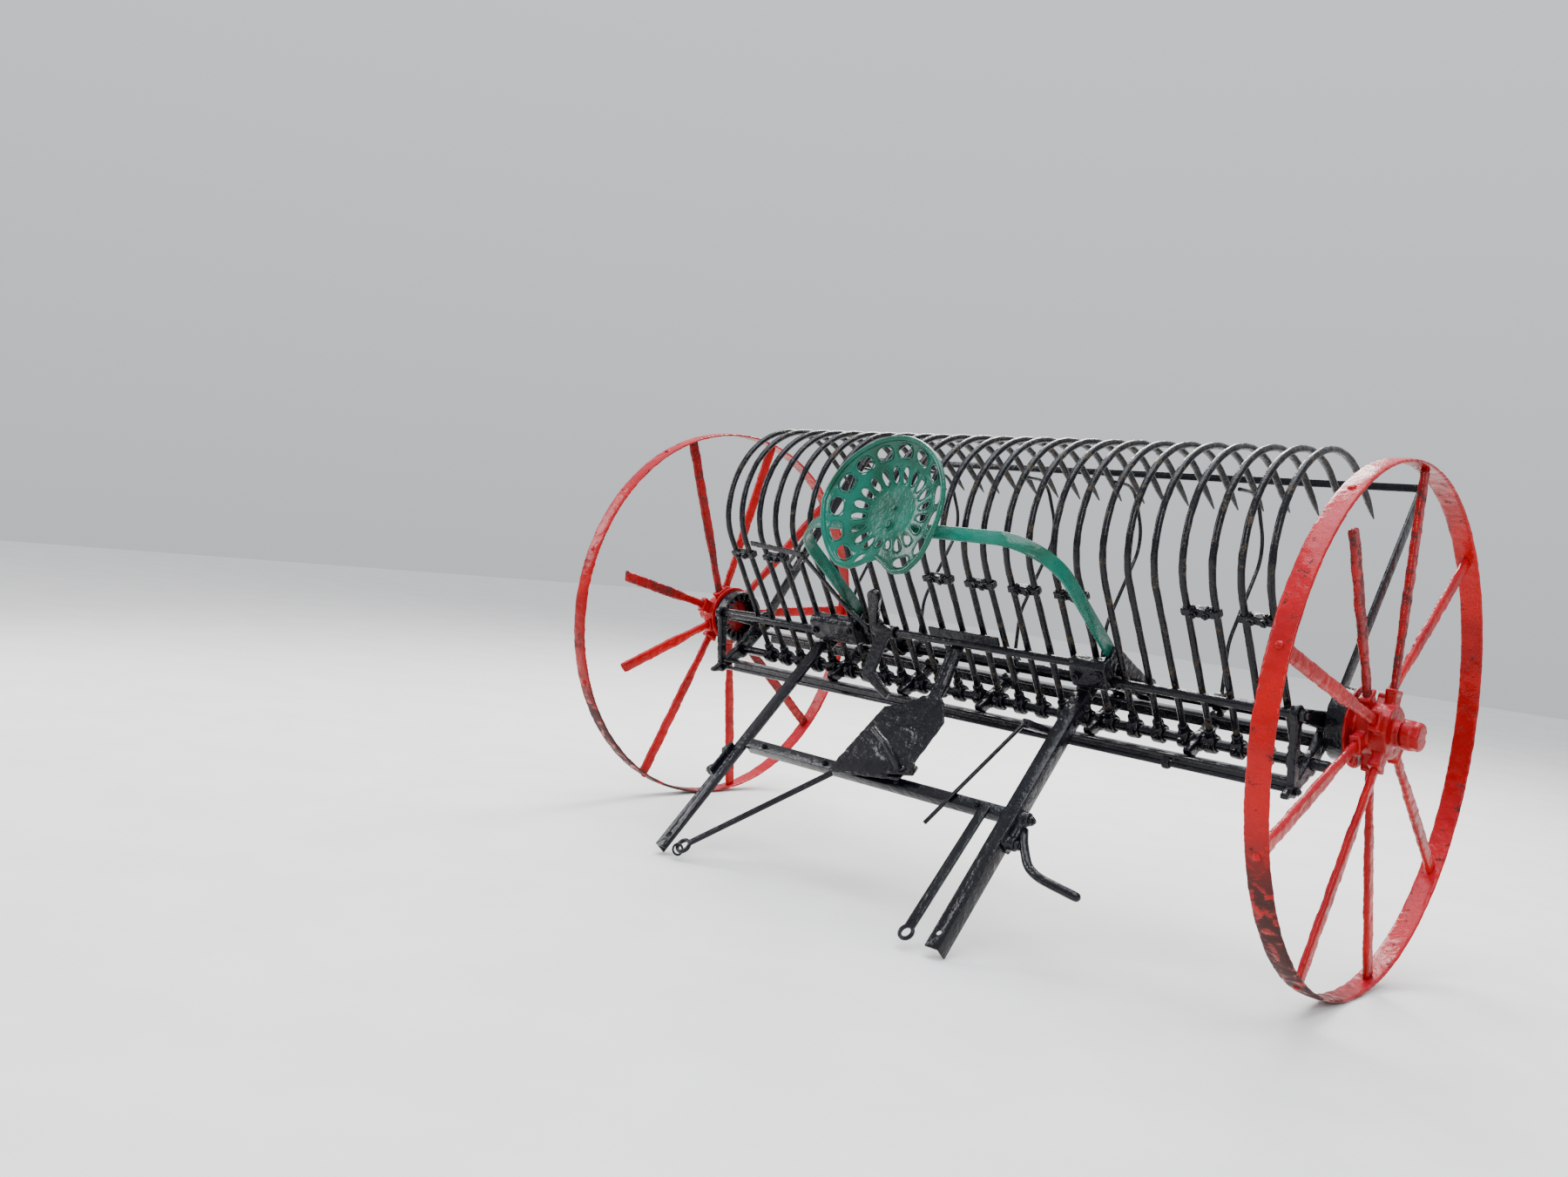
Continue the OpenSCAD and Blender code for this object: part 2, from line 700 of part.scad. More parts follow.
// Side of the neck: up the slope, and above the shafts' top faces
function neck_side(top) = [
    [neck_from, plate_up + 1], [neck_from, plate_up + plate_t], [-120, plate_up + plate_t + 6],
    [mid_up - 14, top], [mid_up, top], [mid_up, top - 8], [mid_up - 10, top - 10], [-116, plate_up + 2],
];
function neck_rib(top) = [
    [neck_from, plate_up + plate_t - 1], [-120, plate_up + plate_t + 12],
    [mid_up - 26, top + 4], [mid_up - 20, top - 4], [-116, plate_up + plate_t],
];

// Curved pedal on the footplate's toe, on a bracket with a pivot at the toe's outer corner
pedal_place = [205, -72];
pedal_turn = 141;

module foot_pedal() {
    color("black") placed() shaft_plane() toe_plane()
        translate([pedal_place[0], pedal_place[1], plate_t + seat_fit]) {
            cube([92, 38, 12]);
            translate([78, 22, 0]) cylinder(r = 15, h = 28);
            translate([38, 19, 4]) rotate([90, -90, pedal_turn])
                rod_path(10, [[14, -78, 60], [80, 0, 0]]);
        }
}

// Rod that lies over the crossbar, down from the front lug
pedal_rod_r = 6;
pedal_rod_l = 400;
pedal_rod_x = root_right_x - 99.5;
pedal_rod_at = 195;

module pedal_rod() {
    color("black") placed() shaft_plane()
        translate([pedal_rod_x, -pedal_rod_at, crossbar_up + seat_fit + pedal_rod_r])
            rotate([0, 90, -105]) cylinder(r = pedal_rod_r, h = pedal_rod_l);
}

// Lug on the lower angle that holds the pedal rod's upper end, and a collar that hangs
// the low rod from the same angle
module front_lug() {
    angle_front = low_angle_rear - low_angle_w - seat_fit;
    collar_r = low_rod_r + 8;
    color("black") placed() {
        side_plate(pedal_rod_x, 26)
            difference() {
                web([angle_front, low_angle_top - 10], by_shaft(pedal_rod_at - 5, 6), 10, 14);
                translate(by_shaft(pedal_rod_at, crossbar_up + seat_fit)) rotate(shaft_slope)
                    translate([-60, 0]) square([70, 40]);
                translate([angle_front, low_angle_top - 60]) square([60, 120]);
            }
        side_plate(tooth_x(4), 22)
            difference() {
                union() {
                    translate(low_rod_place) circle(r = collar_r);
                    translate([low_rod_y - collar_r + 3, low_rod_z])
                        square([2 * collar_r - 6, low_angle_top - beam_t - seat_fit - low_rod_z]);
                }
                translate(low_rod_place) circle(r = low_rod_r + seat_fit);
            }
    }
}

// Link from the footplate's corner down to an eye, beside the left shaft
link_w = 16;
link_t = 12;
link_place = [-118, -502];
link_down = 879.4;     // how far down the shafts its eye lies
link_inside = 78.6;    // from the left shaft's middle to the eye
link_reach = [
    shaft_x(root_left_x, -1, link_down) + link_inside - link_place[0], -link_down - link_place[1],
];
link_l = norm(link_reach);
link_turn = atan2(link_reach[1], link_reach[0]);

module draw_link() {
    color("black") placed() shaft_plane()
        translate([link_place[0], link_place[1], plate_up - seat_fit - link_t]) rotate([0, 0, link_turn])
            difference() {
                union() {
                    translate([0, -link_w / 2, 0]) cube([link_l, link_w, link_t]);
                    translate([link_l, 0, 0]) cylinder(r = draw_eye_r + 9, h = link_t);
                }
                translate([link_l, 0, -1]) cylinder(r = draw_eye_r, h = link_t + 2);
            }
}

// Bent leg on the outer face of the right-hand clamp, with a rounded toe
leg_t = 12;
leg_knee = [133, -625];
leg_toe = [271, -651];

module bent_leg() {
    seat_x = shaft_w / 2 + 2 * seat_fit + clamp_w;
    color("black") placed() on_shaft(root_right_x, 1)
        translate([0, 0, -26]) linear_extrude(leg_t)
            difference() {
                union() {
                    web([seat_x - 20, -clamp_right_at - 64], leg_knee, 15, 13);
                    translate(leg_knee) circle(r = 15);
                    web(leg_knee, leg_toe, 13, 11);
                    translate(leg_toe) circle(r = 17);
                }
                translate([seat_x - 60, -clamp_right_at - 160]) square([60, 160]);
            }
}

// Flat bar from the crossbar down to an eye, inside the right-hand shaft
brace_x = root_right_x - 60.5;
brace_w = 30;
brace_t = 8;
brace_l = 415;

module brace_bar() {
    color("black") placed() shaft_plane()
        translate([brace_x, crossbar_w / 2 - crossbar_at, crossbar_up + seat_fit]) rotate([0, 0, -90])
            difference() {
                union() {
                    translate([0, -brace_w / 2, 0]) cube([brace_l, brace_w, brace_t]);
                    translate([brace_l, 0, 0]) cylinder(r = brace_eye_r + 10, h = brace_t);
                }
                translate([brace_l, 0, -1]) cylinder(r = brace_eye_r, h = brace_t + 2);
            }
}

// Draws in a plane in front of the teeth's legs: first axis along the rake, second axis up
// the legs, the plate's back face at the given distance in front of the legs' middles
module leg_plate(front, t) {
    translate([0, tooth_y, tooth_z]) rotate([tooth_lean, 0, 0])
        translate([0, -front, 0]) rotate([90, 0, 0]) linear_extrude(t) children();
}

// Hand lever: a bar from the middle trip rod up to a slotted loop, with a flat bar in it
lever_x = tooth_x(17.5) - 14;
lever_knee = [lever_x - 60, mid_along + 72];
lever_top = [lever_x - 183, mid_along + 248];
loop_low = [lever_top[0] - 56, mid_along + 219];
loop_high = [lever_top[0] + 72, mid_along + 336];
lever_front = 36;
lever_t = 10;

module slot_shape(a, b, r) {
    translate(a) circle(r = r);
    translate(b) circle(r = r);
    web(a, b, r - 1, r - 1);
}

module hand_lever() {
    turn = atan2(loop_high[1] - loop_low[1], loop_high[0] - loop_low[0]);
    color("black") placed() {
        difference() {
            union() {
                side_plate(lever_x, 18) translate(mid_place) circle(r = trip_r + 8);
                leg_plate(lever_front, lever_t) {
                    web([lever_x, mid_along + 14], lever_knee, 10, 8);
                    translate(lever_knee) circle(r = 9.5);
                    web(lever_knee, lever_top, 8, 8);
                }
            }
            side_plate(lever_x, 40) translate(mid_place) circle(r = trip_r + seat_fit);
        }
        leg_plate(lever_front + lever_t - 1, 11)
            difference() {
                slot_shape(loop_low, loop_high, 21);
                slot_shape(loop_low, loop_high, 8);
            }
        leg_plate(lever_front + lever_t + 10 - 1, 8)
            translate((loop_low + loop_high) / 2) rotate(turn)
                translate([-10, -14]) square([20, 28]);
        leg_plate(lever_front + lever_t + 17, 7)
            web((loop_low + loop_high) / 2 + [14, -2], (loop_low + loop_high) / 2 + [-212, 18], 10, 10);
    }
}

// Levers on the middle trip rod: an upright paddle, a hanging hook and a flat bar on top
paddle_x = tooth_x(17.5) + 12;
hook_x = tooth_x(16.5);
hook_w = 44;
top_bar_x = [-36, 222];
paddle_front = 25;

module lever_bracket() {
    color("black") placed() {
        difference() {
            union() {
                side_plate(paddle_x, 22) translate(mid_place) circle(r = trip_r + 8);
                leg_plate(paddle_front, 22) {
                    web([paddle_x, mid_along + 6], [paddle_x + 44, mid_along + 132], 13, 22);
                    translate([paddle_x + 44, mid_along + 132]) circle(r = 24);
                }
            }
            side_plate(paddle_x, 40) translate(mid_place) circle(r = trip_r + seat_fit);
        }
        difference() {
            union() {
                side_plate(hook_x, 40) translate(mid_place) circle(r = trip_r + 9);
                translate([0, mid_place[0] - trip_r + 4, 0]) rotate([90, 0, 0]) linear_extrude(18)
                    hanging_hook();
            }
            side_plate(hook_x, 90) translate(mid_place) circle(r = trip_r + seat_fit);
        }
        leg_plate(trip_front - 6, 11)
            translate([top_bar_x[0], mid_along + trip_r + seat_fit])
                square([top_bar_x[1] - top_bar_x[0], 32]);
    }
}

module hanging_hook() {
    elbow = [hook_x - 62, mid_place[1] - 138];
    tail = [hook_x + 30, mid_place[1] - 200];
    web([hook_x - 10, mid_place[1] + trip_r + 6], elbow, hook_w / 2 + 4, hook_w / 2);
    translate(elbow) circle(r = hook_w / 2 + 2);
    web(elbow, tail, hook_w / 2 - 1, 13);
}

// Seat arch: a flat bar bent over, in a plane that leans forward
arch_right_x = tooth_x(6.5);
arch_left_x = tooth_x(18.5);
arch_mid_x = (arch_right_x + arch_left_x) / 2;
arch_half = (arch_right_x - arch_left_x) / 2;

module arch_plane() {
    translate([arch_mid_x, arch_foot[0], arch_foot[1]]) rotate([arch_lean, 0, 0]) children();
}

module seat_arch() {
    leg = arch_h - arch_bend_r;
    color("seagreen") placed() arch_plane() rotate([90, 0, 0])
        translate([-arch_half, 0, 0]) rotate([0, 0, 90])
            swept([
                [leg, -90, arch_bend_r], [2 * (arch_half - arch_bend_r), -90, arch_bend_r], [leg, 0, 0],
            ]) square([arch_t, arch_w], center = true);
}

// Pan seat: a flat middle, a dished and pierced pan, and a rim that is low in front, with
// a notch between two lobes. Its frame: x across, y to the back, z up from the flat middle.
// Columns: angle from the front, radius of the rim, share of the rim's height
seat_edge = [
    [0, 0.70, 0.05], [12, 0.79, 0.12], [24, 0.98, 0.2], [36, 1.07, 0.28], [50, 1.07, 0.42],
    [70, 1.05, 0.74], [90, 1.06, 0.94], [120, 1.03, 1], [150, 1, 1], [180, 1, 1],
];
seat_cols = 60;
seat_bolt_back = 38;    // from the bolt on the arch to the middle of the seat
seat_boss_h = 8;        // from the arch's face to the flat middle, at the bolt

// Rows: share of the way from the flat middle's edge to the rim
seat_rows = [-1, 0, 0.09, 0.44, 0.53, 0.6, 0.86, 0.95, 1];
inner_band = 2;
outer_band = 5;

function from_front(j) = 180 - abs(((j * 360 / seat_cols + 90) % 360) - 180);
function edge_r(j) = seat_r * lookup(from_front(j), [for (row = seat_edge) [row[0], row[1]]]);
function edge_h(j) = seat_rise * lookup(from_front(j), [for (row = seat_edge) [row[0], row[2]]]);
function row_r(i, j) = seat_rows[i] < 0 ? seat_disc_r * 0.3
    : seat_disc_r + seat_rows[i] * (edge_r(j) - seat_disc_r);
function row_h(i, j) = seat_rows[i] <= 0 ? 0 : edge_h(j) * pow(seat_rows[i], 1.5);
function seat_point(i, j, up) = [
    row_r(i, j) * cos(j * 360 / seat_cols), row_r(i, j) * sin(j * 360 / seat_cols), row_h(i, j) + up,
];

// Holes lie in two bands, between ribs, and the outer band has none at the notch
function is_cut(i, j) =
    i == inner_band ? j % 3 != 0
    : i == outer_band ? j % 4 != 0 && edge_r(j) > 0.9 * seat_r
    : false;

module seat_shell() {
    rows = len(seat_rows);
    n = rows * seat_cols;
    bead = 4;    // extra height of the rolled rim
    under = function (i, j) i * seat_cols + j % seat_cols;
    over = function (i, j) n + under(i, j);
    wall = function (i, j, to_i, to_j) [
        [under(i, j), over(to_i, to_j), under(to_i, to_j)], [under(i, j), over(i, j), over(to_i, to_j)],
    ];
    points = concat(
        [for (i = [0 : rows - 1]) for (j = [0 : seat_cols - 1]) seat_point(i, j, 0)],
        [for (i = [0 : rows - 1]) for (j = [0 : seat_cols - 1])
            seat_point(i, j, i < rows - 2 ? seat_t : seat_t + bead)],
        [[0, 0, 0], [0, 0, seat_t]]
    );
    middle = [for (j = [0 : seat_cols - 1]) each [
        [2 * n, under(0, j), under(0, j + 1)], [2 * n + 1, over(0, j + 1), over(0, j)],
    ]];
    skins = [for (i = [0 : rows - 2]) for (j = [0 : seat_cols - 1]) if (!is_cut(i, j)) each [
        [under(i, j), under(i + 1, j), under(i + 1, j + 1)],
        [under(i, j), under(i + 1, j + 1), under(i, j + 1)],
        [over(i, j), over(i + 1, j + 1), over(i + 1, j)],
        [over(i, j), over(i, j + 1), over(i + 1, j + 1)],
    ]];
    edge = [for (j = [0 : seat_cols - 1]) each wall(rows - 1, j, rows - 1, j + 1)];
    holes = [for (i = [inner_band, outer_band]) for (j = [0 : seat_cols - 1]) if (is_cut(i, j))
        each concat(
            wall(i, j, i, j + 1),
            wall(i + 1, j + 1, i + 1, j),
            is_cut(i, j + seat_cols - 1) ? [] : wall(i + 1, j, i, j),
            is_cut(i, j + 1) ? [] : wall(i, j + 1, i + 1, j + 1)
        )
    ];
    polyhedron(points, concat(middle, skins, edge, holes), convexity = 10);
}

module seat_pan() {
    color("mediumseagreen") placed() arch_plane()
        translate([-seat_aside, 0, arch_h + arch_t / 2 + seat_fit]) {
            rotate([seat_tilt, 0, 0]) translate([0, seat_bolt_back, seat_boss_h]) seat_shell();
            difference() {
                rotate([seat_tilt, 0, 0]) translate([-34, -18, -20]) cube([68, 46, seat_boss_h + 21]);
                translate([-80, -100, -60]) cube([160, 200, 60]);
            }
        }
}

// Rear bar behind the hoops, on two flat struts
module rear_bar() {
    color("black") placed()
        translate([-casting_left, rear_bar_y - rear_bar_s / 2, rear_bar_z - rear_bar_s / 2])
            cube([casting_left + casting_right, rear_bar_s, rear_bar_s]);
}

// Each strut lies against its casting's inner face, and goes up to the rear bar
module bar_struts() {
    high = [rear_bar_y, rear_bar_z - rear_bar_s / 2 - seat_fit];
    slope = atan2(high[1] - axle_z, high[0]);
    length = norm(high - axle_place);
    color("black") placed()
        for (x = [-casting_left + casting_t / 2, casting_right - casting_t / 2])
            side_plate(x, strut_t)
                difference() {
                    translate(axle_place) rotate([0, 0, slope])
                        translate([axle_r + 18 + seat_fit, -strut_w / 2])
                            square([length, strut_w]);
                    translate([0, high[1]]) square([rear_bar_y + 2 * strut_w, 2 * strut_w]);
                }
}

// Stripper rods round the axle, inside the hoops, in gaps between the teeth
stripper_gaps = [3.5, 8.5, 12.5, 17.5, 21.5];

module stripper_rods() {
    color("black") placed()
        for (gap = stripper_gaps)
            difference() {
                union() {
                    side_plate(tooth_x(gap), 26) translate(axle_place) circle(r = axle_r + 9);
                    side_plane(tooth_x(gap)) translate(axle_place) rotate([0, 0, 90])
                        translate([axle_r + 4, 0, 0])
                            rod_path(stripper_r, [
                                [110, -30, 120], [200, 60, 120], [60, 60, 90], [60, 0, 0],
                            ]);
                }
                side_plate(tooth_x(gap), 30) translate(axle_place) circle(r = axle_r + seat_fit);
            }
}

// Rake head: the hinged shaft with its feet, hoop teeth and clips
module tooth_shaft() {
    color("black") placed() cross_rod(tooth_place, tooth_shaft_r, -casting_left - 10, casting_right + 40);
}

module tooth_feet() {
    color("black") placed()
        for (k = [0 : tooth_count - 1])
            translate([tooth_x(k), tooth_y, tooth_z])
                difference() {
                    union() {
                        rotate([0, 90, 0]) cylinder(r = foot_r, h = foot_w, center = true);
                        rotate([tooth_lean, 0, 0]) cylinder(r = tooth_r + 6, h = foot_r + 22);
                    }
                    rotate([0, 90, 0]) cylinder(r = tooth_shaft_r + seat_fit, h = foot_w + 2, center = true);
                    rotate([tooth_lean, 0, 0]) cylinder(r = tooth_r + seat_fit, h = foot_r + 40);
                }
}

// A tooth: a leaning leg, a bend upright, the hoop and a straight pointed tip
bend_r = (hoop_rise * sin(tooth_lean) - hoop_r * cos(tooth_lean)) / (1 - cos(tooth_lean));
leg_l = (hoop_r - bend_r * (1 - cos(tooth_lean))) / sin(tooth_lean);
leg_from = tooth_shaft_r + 3;
point_r = 2;

module tooth() {
    rotate([0, 0, 90 + tooth_lean]) translate([leg_from, 0, 0])
        rod_path(tooth_r, [
            [leg_l - leg_from, -tooth_lean, bend_r], [0.01, tip_from - 180, hoop_r],
            [tip_l - point_l, 0, 0],
        ])
            rotate([0, 90, 0]) cylinder(r1 = tooth_r - bend_slack, r2 = point_r, h = point_l);
}

module teeth(from, to) {
    color("black") placed()
        for (k = [from : to])
            side_plane(tooth_x(k)) translate([tooth_y, tooth_z]) tooth();
}

// Clips that join pairs of teeth, named by the first tooth of the pair
clip_pairs = [0, 2, 7, 9, 11, 13, 22, 24];

module tooth_clips() {
    color("black") placed()
        for (k = clip_pairs)
            translate([tooth_x(k + 0.5), tooth_y, tooth_z]) rotate([tooth_lean, 0, 0])
                translate([0, 0, leg_l - clip_below])
                    difference() {
                        cube([tooth_pitch + 2 * tooth_r + 10, 2 * tooth_r + 10, 24], center = true);
                        for (end = [-1, 1])
                            translate([end * tooth_pitch / 2, 0, 0])
                                cylinder(r = tooth_r + seat_fit, h = 30, center = true);
                    }
}

last_right_tooth = floor(tooth_count / 2) - 1;

rim(1);  // rim_right
spokes(1, spokes_of_right);  // spokes_right
hub(1);  // hub_right
ratchet(1);  // ratchet_right
hub_cap(1);  // hub_cap_right
rim(-1);  // rim_left
spokes(-1, spokes_of_left);  // spokes_left
hub(-1);  // hub_left
ratchet(-1);  // ratchet_left
hub_cap(-1);  // hub_cap_left
axle();
main_beam();
lower_angle();
end_casting(casting_right, 1);  // end_casting_right
end_casting(casting_left, -1);  // end_casting_left
trip_rod();
low_rod();
shaft_hangers();
shaft_head(7.5, 6.5);  // shaft_head_right
shaft_head(20.5, 18.5);  // shaft_head_left
shaft(root_right_x, 1);  // shaft_right
shaft(root_left_x, -1);  // shaft_left
crossbar();
shaft_clamps();
footplate();
foot_pedal();
pedal_rod();
front_lug();
draw_link();
bent_leg();
brace_bar();
hand_lever();
lever_bracket();
seat_arch();
seat_pan();
rear_bar();
bar_struts();
stripper_rods();
tooth_shaft();
tooth_feet();
teeth(0, last_right_tooth);  // teeth_right
teeth(last_right_tooth + 1, tooth_count - 1);  // teeth_left
tooth_clips();
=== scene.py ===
"""Dump hay rake: paint, wear, teeth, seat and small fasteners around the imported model."""
import math

import bmesh
import bpy
from mathutils import Matrix, Vector


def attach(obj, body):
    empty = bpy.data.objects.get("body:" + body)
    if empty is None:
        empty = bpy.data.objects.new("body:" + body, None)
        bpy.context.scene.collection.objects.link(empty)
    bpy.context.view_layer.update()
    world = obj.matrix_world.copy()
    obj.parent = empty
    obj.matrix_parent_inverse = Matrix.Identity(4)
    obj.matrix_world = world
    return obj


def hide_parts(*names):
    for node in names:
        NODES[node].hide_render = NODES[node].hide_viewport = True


bl_info = {
    "name": "Dump Hay Rake",
    "version": (1, 0, 0),
    "blender": (4, 5, 0),
    "location": "View3D > Sidebar > Hay Rake",
    "description": "Builds the painted and weathered look of a horse-drawn dump rake",
    "category": "Object",
}

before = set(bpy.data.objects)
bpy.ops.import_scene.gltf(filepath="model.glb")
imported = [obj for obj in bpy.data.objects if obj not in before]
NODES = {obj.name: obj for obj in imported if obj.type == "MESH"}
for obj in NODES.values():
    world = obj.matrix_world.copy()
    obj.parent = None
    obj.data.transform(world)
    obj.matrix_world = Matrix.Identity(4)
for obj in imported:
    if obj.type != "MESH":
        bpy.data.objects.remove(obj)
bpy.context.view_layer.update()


# The rake's own sizes, in metres, as the model has them
AXLE_Y = 0.0683578
WHEEL_R = 0.686
RIM_X = 1.220
TOOTH_COUNT = 26
TOOTH_PITCH = 0.0762
FIRST_TOOTH = 1.062
TOOTH_R = 0.0095
TOOTH_LEAN = math.radians(33.4)
TOOTH_PLACE = Vector((0.0, AXLE_Y - 0.100, 0.580))
# From the tooth shaft's middle to where a tooth leaves its foot
TOOTH_START = 0.018
HOOP_R = 0.292
HOOP_RISE = 0.505
TIP_FROM = math.radians(54)
TIP_L = 0.154
POINT_L = 0.072
SHAFT_SLOPE = math.radians(47.3)
SHAFT_SPLAY = math.radians(1.6)
ROOT = Vector((0.0, AXLE_Y - 0.197, 0.696))

CASTING_RIGHT, CASTING_LEFT = 1.108, -1.012
TRIP_R, TRIP_GAP, TRIP_ALONG = 0.012, 0.0055, 0.170
TRIP_FRONT = TOOTH_R + TRIP_GAP + TRIP_R
LOW_ROD = Vector((0.0, AXLE_Y - 0.190, 0.515))
ARCH_FOOT = Vector((0.1095, AXLE_Y - 0.225, 0.790))
ARCH_H, ARCH_T = 0.461, 0.010
# The arch leans forward, and the pan leans this much more
ARCH_DEGREES, SEAT_DEGREES = 54.3, 17.3
ARCH_LEAN = math.radians(ARCH_DEGREES)
SEAT_TILT = math.radians(ARCH_DEGREES + SEAT_DEGREES)
SEAT_ASIDE = 0.055

SEAT_R, SEAT_DISC_R, SEAT_RISE, SEAT_T = 0.204, 0.077, 0.066, 0.005
SEAT_COLS = 60
SEAT_PLACE = Vector((0.0, 0.038, 0.008))
# Edge of the pan: degrees from the front, share of its radius, share of its rise
SEAT_EDGE = (
    (0, 0.70, 0.05), (12, 0.79, 0.12), (24, 0.98, 0.2), (36, 1.07, 0.28), (50, 1.07, 0.42),
    (70, 1.05, 0.74), (90, 1.06, 0.94), (120, 1.03, 1), (150, 1, 1), (180, 1, 1),
)
# The bent leg: across and along the right shaft
LEG_LINE = ((0.052, -0.506), (0.072, -0.548), (0.128, -0.624), (0.276, -0.652))

# Degrees of each wheel's rivets, from the rear, upwards; the spokes of the last two don't
# reach the rim
RIVETS_RIGHT = (163, 83, 43, -37, -77, -117, -157, 3, 123)
RIVETS_LEFT = (123, 83, 43, 3, -37, -77, -117, 163, -157)

# Counted in teeth from the right: first tooth of each pair that a clip joins, and the gaps of
# the hangers, the shafts and the arch's feet
CLIP_PAIRS = (0, 2, 7, 9, 11, 13, 22, 24)
HANGER_GAPS = (3.5, 7.5, 12.5, 16.5, 20.5)
RIGHT_SHAFT, LEFT_SHAFT = 7.5, 20.5
RIGHT_FOOT, LEFT_FOOT = 6.5, 18.5

# Cast pieces: node, body, finish, size of the remeshed grid and height of the lumps
CAST_PIECES = (
    ("hub_right", "wheel_right", "red", 0.0036, 0.0022),
    ("hub_left", "wheel_left", "red", 0.0036, 0.0026),
    ("hub_cap_right", "wheel_right", "red", 0.0028, 0.0010),
    ("hub_cap_left", "wheel_left", "red", 0.0028, 0.0014),
    ("ratchet_right", "wheel_right", "cast black", 0.0036, 0.0012),
    ("ratchet_left", "wheel_left", "cast black", 0.0036, 0.0012),
    ("rim_right", "wheel_right", "rim red", 0.0052, 0.0024),
    ("rim_left", "wheel_left", "rim red", 0.0052, 0.0028),
    ("spokes_right", "wheel_right", "red", 0.0038, 0.0032),
    ("spokes_left", "wheel_left", "red", 0.0038, 0.0032),
    ("end_casting_right", "frame", "cast black", 0.0040, 0.0022),
    ("end_casting_left", "frame", "cast black", 0.0040, 0.0022),
    ("shaft_hangers", "frame", "cast black", 0.0044, 0.0024),
    ("shaft_head_right", "frame", "cast black", 0.0042, 0.0034),
    ("shaft_head_left", "frame", "cast black", 0.0042, 0.0040),
    ("shaft_clamps", "frame", "cast black", 0.0036, 0.0026),
    ("footplate", "frame", "cast black", 0.0034, 0.0022),
    ("foot_pedal", "frame", "cast black", 0.0034, 0.0020),
    ("front_lug", "frame", "cast black", 0.0034, 0.0020),
    ("lever_bracket", "frame", "cast black", 0.0036, 0.0026),
    ("hand_lever", "frame", "black", 0.0030, 0.0014),
    ("tooth_feet", "rake_head", "cast black", 0.0038, 0.0034),
    ("tooth_clips", "rake_head", "cast black", 0.0038, 0.0050),
)
# How often a casting is smoothed, the lumps' size in cells of its grid, and their middle level
SOFTEN_TIMES, LUMP_CELLS, LUMP_LEVEL = 5, 6, 0.55
# Thick paint and scale on the spokes
SPOKE_SWELL = 0.0026

# Rolled and drawn iron, with the width of its rounded edges
IRON_PIECES = {
    "axle": 0.0015, "main_beam": 0.0018, "lower_angle": 0.0018, "trip_rod": 0.0012,
    "low_rod": 0.0010, "shaft_right": 0.0018, "shaft_left": 0.0018, "crossbar": 0.0014,
    "pedal_rod": 0.0010, "draw_link": 0.0018, "brace_bar": 0.0014, "seat_arch": 0.0018,
    "rear_bar": 0.0018, "bar_struts": 0.0014, "stripper_rods": 0.0008, "tooth_shaft": 0.0014,
}
# Faces that meet at less than FLAT become one; edges over BEVELLED get rounded, and those over
# SHARP stay sharp in the shading
FLAT, BEVELLED, SHARP = math.radians(0.5), math.radians(40), math.radians(38)

# Step along the bends of a rod's line, and a straight run of next to no length
LINE_STEP, NO_RUN = 0.012, 0.0001
# Vertices of the model that are closer than this are one
DOUBLES = 1e-5

# Scales of the paint's noises: broad shades, patches, flecks, brush lumps and grain
BROAD, PATCH, FLECK, BRUSH, GRAIN = 6.0, 34.0, 240.0, 42.0, 130.0
# How strongly a painted sky reflection lightens faces that look up, and dirt lies in the pits
SKY_SHEEN_SHARE, DIRT_SHARE = 0.65, 0.6
# How much rougher and deeper a bare chip is, and how high the grain is to the brush lumps
CHIP_ROUGH, CHIP_DEEP, GRAIN_SHARE = 0.4, 0.3, 0.3
# Metres over which the wear of a rim fades upwards, and from front to rear
WORN_FADE, WORN_FRONT, WORN_REAR = 0.25, -0.1, 0.25
# Limits of a noise between which something fades in, and the width of a chip's edge
COLOUR_IN, CHIPS_IN, DIRT_IN = (0.35, 0.65), (0.42, 0.55), (0.54, 0.68)
DIRT_PATCHES, WORN_PATCHES, CHIP_EDGE = (0.4, 0.7, 0.3, 1.0), (0.38, 0.5), 0.06
# The same for the upward part of a surface's direction, where the painted sky reflection shows
SKY_SHEEN_IN = (0.05, 0.9)
# Patches go from this much under a paint's roughness to this much over it
GLOSS_PATCHES, SMOOTHER, ROUGHER = (0.3, 0.7), 0.06, 0.1
# Thin clear layer on all paint, then what shows where the paint is off
COAT, COAT_ROUGHNESS = 0.06, 0.07
RUST = (0.045, 0.012, 0.010)
BLACK_CHIP, TOOTH_CHIP, GREEN_CHIP = (0.03, 0.02, 0.015), (0.06, 0.042, 0.022), (0.02, 0.05, 0.03)

# Seed of the turns that nuts and rivets get
TURN_SEED = 3


def place_x(k):
    """Middle of tooth or gap k along the axle"""
    return FIRST_TOOTH - TOOTH_PITCH * k


def by_shaft(across, along, up=0.0):
    """A place by the two shafts: across, down their slope, and above their top faces"""
    c, s = math.cos(SHAFT_SLOPE), math.sin(SHAFT_SLOPE)
    return ROOT + Vector((across, -along * c - up * s, -along * s + up * c))


def by_leg(across, along, front):
    """A place by the teeth's legs at rest: across, up the leg, and in front of its middle"""
    c, s = math.cos(TOOTH_LEAN), math.sin(TOOTH_LEAN)
    return TOOTH_PLACE + Vector((across, -along * s - front * c, along * c - front * s))


def beside_right_shaft(x, y, up):
    """A place by the right shaft, which splays a little, from its root"""
    c, s = math.cos(SHAFT_SPLAY), math.sin(SHAFT_SPLAY)
    return by_shaft(place_x(RIGHT_SHAFT) + x * c - y * s, -(x * s + y * c), up)


